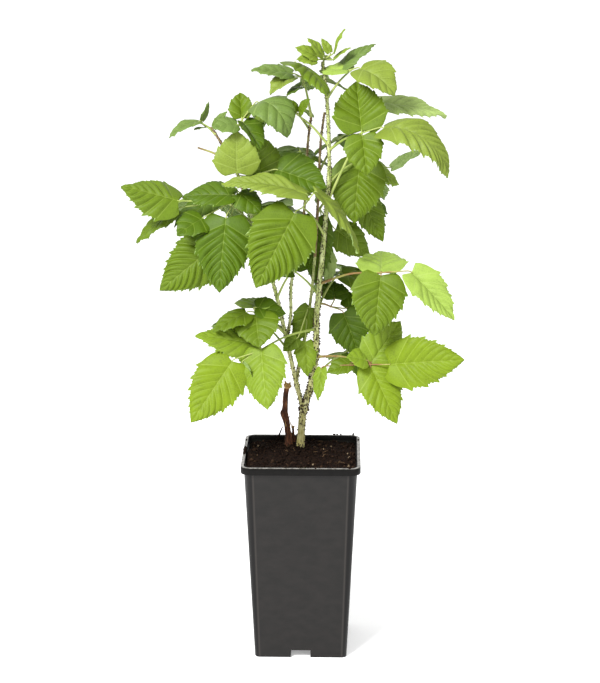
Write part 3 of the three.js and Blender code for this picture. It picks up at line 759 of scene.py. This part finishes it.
def stood(base, turn, length, shape, x, y):
    """Stands a flat blade in space: gives a function of its height that turns, arches and folds it."""
    heading, rise, roll = turn
    along, up = direction(heading, rise), direction(heading, rise + 90)
    roll = math.radians(roll)
    normal = up * math.cos(roll) + np.cross(along, up) * math.sin(roll)
    side = np.cross(along, normal)
    arch, fold = (math.radians(bend) for bend in shape)
    half = arch / 2
    radius = length / (2 * math.sin(half))
    angle = half - 2 * half * x / length

    def placed(height):
        z = np.abs(y) * math.tan(fold) + height
        forward = radius * (math.sin(half) - np.sin(angle)) - z * np.sin(angle)
        out = radius * (np.cos(angle) - math.cos(half)) + z * np.cos(angle)
        return base + along * forward[..., None] + side * y[..., None] + normal * out[..., None]
    return placed


def blade_faces(top, low, tip, phase):
    """The faces of a blade's two grids and its tip, and a kind for each: 0 for the upper side, 1 for a vein
    on it, 2 for the under side and 3 for a vein on that."""
    faces, kinds = [], []
    lines, columns = top.shape
    middle = columns // 2
    for i in range(lines - 1):
        vein_line = i > 0 and phase[i] == VEIN_START
        for j in range(columns - 1):
            vein = (vein_line and 0 < j < columns - 2) or j in (middle - 1, middle)
            for index, kind in ((top, 0), (low, 2)):
                corners = index[i, j], index[i, j + 1], index[i + 1, j + 1], index[i + 1, j]
                faces.append(corners if kind else corners[::-1])
                kinds.append(kind + vein)
    for j in range(columns - 1):
        faces += [(top[-1, j], tip, top[-1, j + 1]), (low[-1, j], low[-1, j + 1], tip)]
        kinds += [0, 2]
    return faces, kinds


def blade(base, turn, size, shape, quilt, draw):
    """A toothed, quilted leaflet blade: its vertices, its faces, and a kind for each face."""
    length = size[0]
    row, phase, teeth = blade_rows(length)
    share, wide, x, y = flat_blade(row, size)
    cut_teeth(x, y, share, teeth, length, draw)
    height = length * blade_height(row, phase, wide, quilt, draw)
    twist = math.radians(MOST_TWIST) * (draw() - 0.5)
    height += y * np.tan(twist * (x / length))
    placed = stood(base, turn, length, shape, x, y)
    on_vein = np.isin(phase, (VEIN_START, VEIN_END)) | (APART < MIDRIB_WIDTH)
    upper, edge = placed(height + BLADE_THICKNESS / 2), placed(height)
    lower = placed(height - BLADE_THICKNESS / 2 - np.where(on_vein, RIB, 0.0) * (1 - APART))[1:, 1:-1]
    upper[:, 0], upper[:, -1], upper[0] = edge[:, 0], edge[:, -1], edge[0]
    vertices = [*upper.reshape(-1, 3), *lower.reshape(-1, 3), base + direction(*turn[:2]) * length]
    tip = len(vertices) - 1
    top = np.arange(share.size).reshape(share.shape)
    low = top.copy()
    low[1:, 1:-1] = np.arange(share.size, tip).reshape(lower.shape[:2])
    return vertices, *blade_faces(top, low, tip, phase)


# ---- leaves ----

def leaf_parts(cane, height, petiole, leaflets):
    """The petiole's curve, and each leaflet's stalk, blade base, turn, size and shape."""
    heading, rise, length = petiole
    start = point_on_cane(cane, height)
    hub = start + direction(heading, rise) * length
    bow = (start + hub) / 2 + np.array([0, 0, PETIOLE_RISE * length])
    parts = []
    for stalk, turn, size, *shape in leaflets:
        along = direction(*turn[:2])
        elbow = hub + np.array(stalk)
        base = elbow + along * ELBOW
        parts.append(([hub, elbow, base + along], base, turn, size, shape[0] if shape else USUAL_SHAPE))
    return spline([start, bow, hub], PETIOLE_RINGS), parts


def grown_leaf(name, cane, height, heading, size, seed):
    """A leaf of three leaflets by rule: its petiole rises, its leaflets droop and spread."""
    draw = seeded(seed)

    def vary(middle, spread):
        return middle + spread * (2 * draw() - 1)
    petiole = [heading, vary(32, 8), size * GROWN_PETIOLE]
    stalk = direction(heading, 10) * size * GROWN_STALK
    turn = [vary(heading, 8), vary(-35, 8), vary(0, 10)]
    leaflets = [[stalk, turn, [size, size * GROWN_WIDTH]]]
    for side in (-1, 1):
        turn = [heading + side * vary(72, 8), vary(-28, 8), -side * vary(15, 6)]
        leaflets.append([HUB, turn, [size * share for share in GROWN_SIDE]])
    return [name, cane, height, petiole, leaflets]


def rounded(points):
    """A stalk's bend drawn as a smooth curve through its corner."""
    a, b, c = points
    t = np.linspace(0, 1, STALK_RINGS + 1)[:, None]
    if np.linalg.norm(b - a) < 1e-6:
        return a + (c - a) * t
    first = a + (b - a) * np.minimum(2 * t, 1)
    second = b + (c - b) * np.maximum(2 * t - 1, 0)
    near = 0.15 * np.clip(1 - np.abs(2 * t - 1) * 3, 0, 1)
    return np.where(t < 0.5, first, second) * (1 - near) + near * (a + c) / 2


def petiole_tube(petiole):
    """A petiole, thicker where it leaves its cane."""
    thicker, reach = PETIOLE_FOOT
    radii = np.linspace(*PETIOLE_RADIUS, len(petiole)) + thicker * np.exp(-np.arange(len(petiole)) / reach)
    return tube(petiole, radii, PETIOLE_SIDES)


def knuckle(petiole):
    """The swelling at the end of a petiole, where its leaflets' stalks fork."""
    way = unit(petiole[-1] - petiole[-2])
    line = [petiole[-1] + way * d for d in np.linspace(-1.6, 1.6, 7)]
    return tube(line, FORK_RADIUS * np.sin(np.pi * np.linspace(0.08, 0.92, 7)), PETIOLE_SIDES)


def quilt_of(name, index):
    if index in FLAT_LEAFLETS.get(name, ()):
        return FLATTER
    return DEEPER if index in PLEATED_LEAFLETS.get(name, ()) else QUILT


def green_of(name, order, index):
    """The number of a leaflet's green; those at the back take theirs in turn."""
    turns = BACK_GREENS[(order + index) % len(BACK_GREENS)]
    greens = LEAF_GREENS.get(name, turns).split()
    return list(GREENS).index(greens[min(index, len(greens) - 1)])


def leaf_materials():
    """Each green's blade and vein, and last the under side and its veins."""
    materials = []
    for name, colour in GREENS.items():
        materials.append(leaf_material(f"leaf_{name}", colour))
        materials.append(vein_material(f"vein_{name}", blend(colour, VEIN_PALE, VEIN_SHARE)))
    return materials + [under_material(), vein_material("vein_under_side", (130, 148, 90))]


def leaf_groups():
    """The leaves that are joined in one piece, by its name, and the piece's finish."""
    front = [row[0] for row in LEAVES if row[0] not in YOUNG_LEAVES + BARE_STALKS]
    return {
        "leaves_young": (YOUNG_LEAVES, "young_leaf"),
        "leaves_right": ([name for name in front if name.startswith("right")], "leaf"),
        "leaves_left": ([name for name in front if not name.startswith("right")], "leaf"),
        "leaves_back": ([row[0] for row in BACK_LEAVES], "leaf"),
    }


def make_leaves():
    materials = leaf_materials()
    under = len(materials) - 2
    rows = {row[0]: row[1:] for row in LEAVES + [grown_leaf(*row) for row in BACK_LEAVES]}
    stems = Mesh()
    for number, (group, (names, slot)) in enumerate(leaf_groups().items()):
        mesh = Mesh()
        for order, name in enumerate(names):
            petiole, leaflets = leaf_parts(*rows[name])
            blush = int(name in RED_STALKS)
            stems.add(*petiole_tube(petiole), blush)
            stems.add(*knuckle(petiole), blush)
            for index, (stalk, *place) in enumerate(leaflets):
                line = rounded(stalk)
                stems.add(*tube(line, np.linspace(*STALK_RADIUS, len(line)), STALK_SIDES), blush)
                draw = seeded(1000 * number + 50 * order + index + 7)
                vertices, faces, kinds = blade(*place, quilt_of(name, index), draw)
                green = 2 * green_of(name, order, index)
                mesh.add(vertices, faces, [(green, green + 1, under, under + 1)[kind] for kind in kinds])
        mesh.piece(group, materials, [f"leaf_{name}" for name in names], slot)
    for name in BARE_STALKS:
        petiole = leaf_parts(*rows[name])[0]
        radii = np.linspace(*PETIOLE_RADIUS, len(petiole))
        stems.add(*tube(petiole, radii, PETIOLE_SIDES), int(name in RED_STALKS))
    greenish = stalk_material("stalk_green", (122, 138, 62), (146, 156, 86))
    reddish = stalk_material("stalk_red", (134, 132, 68), (118, 88, 52))
    stems.piece("petioles", [greenish, reddish], [f"leaf_{name}" for name in BARE_STALKS], "green_cane")


# ---- canes ----

def cane_radius(name, height, share):
    foot, tip = CANES[name][1:]
    flare = FLARE * math.exp(-(height - GROUND) / FLARE_HEIGHT) if name == "main" else 0
    return (foot + (tip - foot) * share) * (1 + flare) * (1 + swelling(name, height))


def swelling(name, height):
    """How much a cane swells, as a share of its radius: at every leaf, and more at a fork."""
    def near(places, reach):
        return sum(math.exp(-((height - place) / reach) ** 2) for place in places)
    leaf, leaf_reach = LEAF_SWELLING
    fork, fork_reach = FORK_SWELLING
    leaves = near([row[2] for row in LEAVES + BACK_LEAVES if row[1] == name], leaf_reach)
    return leaf * min(leaves, MOST_SWELLINGS) + fork * near(FORKS.get(name, []), fork_reach)


def prickle(line, radii, t, rng):
    """One prickle, a share t of the way up a cane: a thin pyramid that leans to the ground."""
    i = min(int(t * (len(line) - 1)), len(line) - 2)
    way = unit(line[i + 1] - line[i])
    across = unit(np.cross(way, [0.3, 1.0, 0.1]))
    angle = rng.random() * TURN
    out = across * math.cos(angle) + np.cross(way, across) * math.sin(angle)
    root = line[i] + (line[i + 1] - line[i]) * rng.random() + out * radii[i] * PRICKLE_ROOT
    size = (radii[i] / PRICKLE_RADIUS) ** 0.5
    long = rng.uniform(*PRICKLE_LENGTH) * size
    wide = rng.uniform(*PRICKLE_WIDTH) * size
    half_foot, half_width = way * wide * PRICKLE_FOOT, np.cross(out, way) * wide
    foot = [root + half_foot, root + half_width, root - half_foot, root - half_width]
    point = root + out * long - way * long * PRICKLE_LEAN
    return foot + [point], [(0, 1, 4), (1, 2, 4), (2, 3, 4), (3, 0, 4), (3, 2, 1, 0)]


def make_canes():
    canes, prickles = Mesh(), Mesh()
    rng = random.Random(11)
    for number, (name, (points, _, _)) in enumerate(CANES.items()):
        line = spline(points, CANE_RINGS)
        radii = [cane_radius(name, point[2], i / CANE_RINGS) for i, point in enumerate(line)]

        def relief(ring, side):
            angle = TURN * side / CANE_SIDES
            at = Vector((math.cos(angle), math.sin(angle), ring * 0.12 + 40 * number))
            return 1 + bumps(CANE_BUMPS, at)
        vertices, faces = tube(line, radii, CANE_SIDES, relief)
        canes.add(vertices, faces, [int(vertices[face[0]][2] > REDDER[name]) for face in faces])
        for _ in range(PRICKLES[name]):
            t = rng.random() ** CROWDED_LOW
            if t > CLEAN_FOOT[name] or rng.random() < FEW:
                prickles.add(*prickle(line, radii, t, rng))
    green = cane_material("cane_green", (106, 122, 50), (146, 156, 90), (180, 186, 134))
    red = cane_material("cane_red", (72, 54, 34), (112, 90, 56), (142, 136, 90))
    canes.piece("canes", [green, red], [f"cane_{name}" for name in CANES], "green_cane")
    prickles.piece("prickles", [prickle_material()], [], "green_cane", smooth=False)


def splinter(root, lean, tall, thick):
    """A thin strip of torn wood or bark that stands off a stub."""
    top = root + lean * tall
    return tube([root, root + lean * tall * 0.6, top], [thick, thick * 0.75, thick * 0.15], 5)


def add_splinters(mesh, line, foot, tip, count, rng):
    """Splinters round a stub's torn top, and strips of bark that stand off its side."""
    up = np.array([0.0, 0.0, 1.0])
    for i in range(count):
        angle = i * SPLINTER_TURN
        out = np.array([math.cos(angle), math.sin(angle), 0.0])
        tall = rng.uniform(*TOP_SPLINTER)
        mesh.add(*splinter(line[-1] + out * tip * 0.7 - up * 1.5, out * 0.4 + up, tall, 0.8), 1)
        at = line[rng.randrange(2, STUB_RINGS // 2)]
        tall = rng.uniform(*SIDE_SPLINTER)
        mesh.add(*splinter(at + out * foot * 0.8, out * 0.3 + up, tall, 0.55), i % 2)


def make_stubs():
    mesh = Mesh()
    rng = random.Random(3)
    flare, flare_rings = STUB_FLARE
    knot, knot_reach = KNOT_SIZE
    for number, (name, (points, foot, tip)) in enumerate(STUBS.items()):
        line = spline(points, STUB_RINGS)
        radii = np.linspace(foot, tip, STUB_RINGS + 1)
        radii *= 1 + flare * np.exp(-np.arange(STUB_RINGS + 1) / flare_rings)
        radii[-len(TORN_TOP):] *= TORN_TOP

        def relief(ring, side):
            angle = TURN * side / STUB_SIDES
            at = Vector((math.cos(angle) * 2.2, math.sin(angle) * 2.2, ring * 0.13 + 9 * number))
            past_knot = (line[ring][2] - KNOTS[name]) / knot_reach
            return 1 + bumps(STUB_BUMPS, at) + knot * math.exp(-past_knot ** 2) * max(0.0, -math.cos(angle))
        vertices, faces = tube(line, radii, STUB_SIDES, relief)
        torn = (STUB_RINGS - len(TORN_TOP)) * STUB_SIDES
        bottom = len(faces) - 2
        mesh.add(vertices, faces, [int(i >= torn and i != bottom) for i in range(len(faces))])
        add_splinters(mesh, line, foot, tip, SPLINTERS[name], rng)
    mesh.piece("dead_stubs", [bark_material(), torn_wood_material()], list(STUBS), "dead_cane")


# ---- pot ----

def body_half(z):
    return FOOT_HALF + BODY_SLOPE * z


def rounded_square(half, corner, z):
    ring = []
    for quarter in range(4):
        start = quarter * TURN / 4
        cx = (half - corner) * math.sqrt(2) * math.cos(start + TURN / 8)
        cy = (half - corner) * math.sqrt(2) * math.sin(start + TURN / 8)
        for i in range(CORNER_STEPS + 1):
            angle = start + i / CORNER_STEPS * TURN / 4
            ring.append((cx + corner * math.cos(angle), cy + corner * math.sin(angle), z))
    return ring


def pot_profile():
    """The pot's section, up its outside, over the lip and down its inside: half width, corner and height."""
    lip, lip_corner = RIM_HALF - RIM_WALL, RIM_CORNER - RIM_WALL
    body = [(FOOT_HALF - 0.8, FOOT_CORNER - 0.8, 0), (FOOT_HALF - 0.2, FOOT_CORNER, 0.25),
            (FOOT_HALF, FOOT_CORNER, 0.9), (body_half(60), FOOT_CORNER + 1, 60),
            (body_half(130), FOOT_CORNER + 2.5, 130),
            (BODY_TOP_HALF, BODY_CORNER, UNDER_RIM - 1.2),
            (BODY_TOP_HALF + 0.5, BODY_CORNER, UNDER_RIM - 0.3)]
    rim = [(RIM_HALF - inset, RIM_CORNER, z) for inset, z in (
        (0.8, UNDER_RIM), (0.2, UNDER_RIM + 0.3), (0, UNDER_RIM + 1),
        (0, POT_HEIGHT - 0.9), (0.25, POT_HEIGHT - 0.25), (0.8, POT_HEIGHT))]
    collar = [(lip + 0.6, lip_corner, POT_HEIGHT), (lip + 0.15, lip_corner, POT_HEIGHT - 0.15),
              (lip, lip_corner, POT_HEIGHT - 0.6), (lip, lip_corner, UNDER_RIM + 2 * WALL),
              (BODY_TOP_HALF - WALL, lip_corner, UNDER_RIM + WALL)]
    inside = [(body_half(z) - WALL, INNER_CORNER, z) for z in (UNDER_RIM - 1, 150, 100, 60, POT_FLOOR)]
    return body + rim + collar + inside


def notch_cutter(turn):
    """A block that cuts the notch in the foot of the side that faces a turn."""
    width, depth, height = NOTCH
    reach = RIM_HALF - FOOT_HALF + depth
    middle = (RIM_HALF - reach / 2) * MM
    bpy.ops.mesh.primitive_cube_add(size=1)
    cutter = bpy.context.object
    cutter.scale = (reach * MM, width * MM, 2 * height * MM)
    cutter.location = (middle * math.cos(turn), middle * math.sin(turn), 0)
    cutter.rotation_euler = (0, 0, turn)
    return cutter


def cut_away(made, cutters):
    """Cuts the cutters' shapes out of an object and removes them."""
    for cutter in cutters:
        cut = made.modifiers.new("notch", "BOOLEAN")
        cut.object = cutter
        cut.operation = "DIFFERENCE"
        cut.solver = "EXACT"
    bpy.context.view_layer.update()
    done = bpy.data.meshes.new_from_object(made.evaluated_get(bpy.context.evaluated_depsgraph_get()))
    made.modifiers.clear()
    made.data = done
    for cutter in cutters:
        bpy.data.objects.remove(cutter)


def make_pot():
    profile = pot_profile()
    count = 4 * (CORNER_STEPS + 1)
    last = (len(profile) - 1) * count
    vertices = [vertex for level in profile for vertex in rounded_square(*level)]
    faces = [face for start in range(0, last, count) for face in ring_faces(start, start + count, count)]
    faces += [tuple(reversed(range(count))), tuple(range(last, last + count))]
    lowest = [min(vertices[i][2] for i in face) for face in faces]
    mesh = Mesh()
    # The rim's side takes the material with painted shade, its flat top the one with dust and painted
    # highlight.
    mesh.add(vertices, faces, [(z >= UNDER_RIM - 0.4) + (z >= POT_HEIGHT - 0.3) for z in lowest])
    pot = mesh.piece("nursery_pot", [body_plastic(), shaded_rim_plastic(), dust_and_highlight_lip()], ["pot"], "pot_plastic")
    cut_away(pot, [notch_cutter(quarter * TURN / 4) for quarter in range(4)])
    for polygon in pot.data.polygons:
        polygon.use_smooth = True
    pot.data.set_sharp_from_angle(angle=math.radians(40))


# ---- compost ----

def smoothstep(x, low, high):
    t = min(max((x - low) / (high - low), 0), 1)
    return t * t * (3 - 2 * t)


def soil_height(x, y):
    fall = smoothstep(math.hypot(x - MOUND[0], y - MOUND[1]), MOUND_FLAT, MOUND_REACH)
    high, along_x, along_y = SOIL_RIPPLE
    ripple = high * math.sin(x * along_x + 1) * math.sin(y * along_y) * fall
    bank = BANK_HEIGHT * math.exp(-((x - BANK[0]) / BANK[2]) ** 2 - ((y - BANK[1]) / BANK[3]) ** 2)
    return GROUND + (SOIL_EDGE_HEIGHT - GROUND) * fall + ripple + bank


def crumble(x, y):
    """The lumps and hollows of the compost's surface, in four layers from coarse to fine."""
    at = Vector((x, y, 0))
    clods = 1.1 * abs(noise.noise(at * 0.42 + Vector((5, 0, 0))))
    return bumps(((1.3, 0.16), (0.7, 1.1), (0.4, 2.3)), at) + clods


def surface(x, y):
    return soil_height(x, y) + crumble(x, y)


def make_soil():
    half = body_half(SOIL_EDGE_HEIGHT) - WALL - SOIL_GAP
    low = body_half(POT_FLOOR) - WALL - SOIL_GAP
    count = 4 * SOIL_SIDE
    vertices = [(0.0, 0.0, surface(0, 0))]
    for ring in range(1, SOIL_RINGS + 1):
        rough = 1 if ring < SOIL_RINGS else SMOOTH_EDGE
        for i in range(count):
            c, s = math.cos(TURN * i / count), math.sin(TURN * i / count)
            square = (abs(c) ** SQUARENESS + abs(s) ** SQUARENESS) ** (1 / SQUARENESS)
            x, y = (half * ring / SOIL_RINGS / square * way for way in (c, s))
            vertices.append((x, y, soil_height(x, y) + crumble(x, y) * rough))
    vertices += [(x * low / half, y * low / half, POT_FLOOR + 0.3) for x, y, _ in vertices[-count:]]
    faces = [(0, 1 + i, 1 + (i + 1) % count) for i in range(count)]
    for ring in range(SOIL_RINGS):
        faces += ring_faces(1 + ring * count, 1 + (ring + 1) * count, count)
    faces.append(tuple(reversed(range(len(vertices) - count, len(vertices)))))
    mesh = Mesh()
    mesh.add(vertices, faces)
    earth = soil_material("compost", (10, 6, 5), (34, 22, 15), 2.2)
    mesh.piece("compost", [earth], ["soil"], "compost")
    make_crumbs(half, earth)


def lump(centre, size, rng):
    """A small angular clod: a squashed octahedron with one split of its faces, pushed about."""
    corners = [Vector(p) for p in ((1, 0, 0), (-1, 0, 0), (0, 1, 0), (0, -1, 0), (0, 0, 1), (0, 0, -1))]
    faces, halves = [], {}

    def halfway(*edge):
        return halves.setdefault(frozenset(edge), len(corners) + len(halves))
    for a, b, c in ((4, 0, 2), (4, 2, 1), (4, 1, 3), (4, 3, 0), (5, 2, 0), (5, 1, 2), (5, 3, 1), (5, 0, 3)):
        ab, bc, ca = halfway(a, b), halfway(b, c), halfway(c, a)
        faces += [(a, ab, ca), (ab, b, bc), (ca, bc, c), (ab, bc, ca)]
    corners += [(corners[a] + corners[b]).normalized() for a, b in halves]
    spin = Matrix.Rotation(rng.random() * TURN, 3, "Z") @ Matrix.Rotation(rng.random() * TURN, 3, "X")
    squash = Vector([0.7 + 0.6 * rng.random() for _ in range(3)])
    pushed = [spin @ (corner * squash) * size * (0.8 + 0.45 * rng.random()) for corner in corners]
    return np.array(centre) + np.array(pushed), faces


def scatter_crumbs(mesh, half, rng):
    """Crumbs all over the compost; some are pale."""
    least, more = CRUMB_SIZE
    for _ in range(CRUMBS):
        x, y = (rng.uniform(-half + 2, half - 2) for _ in range(2))
        size = least + more * rng.random() ** MOSTLY_SMALL
        vertices, faces = lump((x, y, surface(x, y) + size * 0.3), size, rng)
        mesh.add(vertices, faces, int(rng.random() < PALE_CRUMBS))


def crowd_foot(mesh, rng):
    """Clods pressed round the foot of the canes."""
    for _ in range(FOOT_CRUMBS):
        angle, reach = rng.random() * TURN, rng.uniform(*FOOT_REACH)
        x = MOUND[0] + 1.3 * reach * math.cos(angle)
        y = MOUND[1] + reach * math.sin(angle)
        size = rng.uniform(*FOOT_CRUMB_SIZE)
        vertices, faces = lump((x, y, surface(x, y) + size * 0.4), size, rng)
        mesh.add(vertices, faces, int(rng.random() < PALE_FOOT_CRUMBS))


def scatter_straws(mesh, half, rng):
    """Thin fibres that lie on the compost, every third of them straw."""
    for i in range(STRAWS):
        x, y = (rng.uniform(-half + 8, half - 8) for _ in range(2))
        angle = rng.random() * TURN / 2
        long = rng.uniform(*STRAW_LENGTH)
        way = np.array([math.cos(angle), math.sin(angle), rng.uniform(-0.1, 0.25)])
        start = np.array([x, y, surface(x, y) + 0.8])
        line = [start, start + way * long / 2 + [0, 0, 0.08 * long], start + way * long]
        mesh.add(*tube(line, [0.25, 0.35, 0.2], 5), 1 if i % 3 else 3)


def make_crumbs(half, earth):
    rng = random.Random(5)
    mesh = Mesh()
    scatter_crumbs(mesh, half, rng)
    crowd_foot(mesh, rng)
    for x, y, size in PALE_BITS:
        mesh.add(*lump((x, y, soil_height(x, y) + 1.2), size, rng), 2)
    for x, y, size in RIM_CRUMBS:
        mesh.add(*lump((x, y, POT_HEIGHT + 0.4 * size), size, rng))
    mesh.add(*tube(TWIG, TWIG_RADII, 6))
    scatter_straws(mesh, half, rng)
    pale = soil_material("compost_fibre", (30, 20, 14), (60, 44, 32), 1.5)
    grit = soil_material("perlite", (96, 80, 60), (146, 130, 106), 0.8)
    straw = soil_material("straw", (62, 46, 32), (104, 84, 60), 1.2)
    mesh.piece("compost_bits", [earth, pale, grit, straw], [], "compost", smooth=False)


# ---- the scene ----

def make_camera():
    data = bpy.data.cameras.new("camera")
    data.sensor_width = SENSOR
    data.lens = FOCAL_PIXELS / IMAGE_HEIGHT * SENSOR
    data.clip_end = 100
    camera = bpy.data.objects.new("camera", data)
    camera.location = [c * MM for c in CAMERA_AT]
    camera.rotation_euler = (math.radians(90 - CAMERA_PITCH), 0, math.radians(CAMERA_YAW))
    bpy.context.scene.collection.objects.link(camera)
    bpy.context.scene.camera = camera


def make_floor():
    bpy.ops.mesh.primitive_plane_add(size=90)
    floor = bpy.context.object
    floor.name = "floor"
    white = Shader("floor_white", 0.9, 0.5)
    white.surface["Base Color"].default_value = (0.8, 0.8, 0.8, 1)
    white.surface["Emission Color"].default_value = (1, 1, 1, 1)
    white.surface["Emission Strength"].default_value = FLOOR_GLOW
    floor.data.materials.append(white.material)


def make_light():
    world = bpy.data.worlds.new("studio")
    world.use_nodes = True
    background = world.node_tree.nodes["Background"].inputs
    background["Color"].default_value = (1, 1, 1, 1)
    background["Strength"].default_value = WORLD_STRENGTH
    bpy.context.scene.world = world
    bpy.context.scene.view_settings.view_transform = "Standard"
    for name, (at, aim, size, power) in LAMPS.items():
        data = bpy.data.lights.new(name, "AREA")
        data.shape = "SQUARE"
        data.size = size
        data.energy = power
        light = bpy.data.objects.new(name, data)
        light.location = at
        light.rotation_euler = (Vector(aim) - Vector(at)).to_track_quat("-Z", "Y").to_euler()
        bpy.context.scene.collection.objects.link(light)


make_camera()
make_leaves()
make_canes()
make_stubs()
make_pot()
make_soil()
make_floor()
make_light()
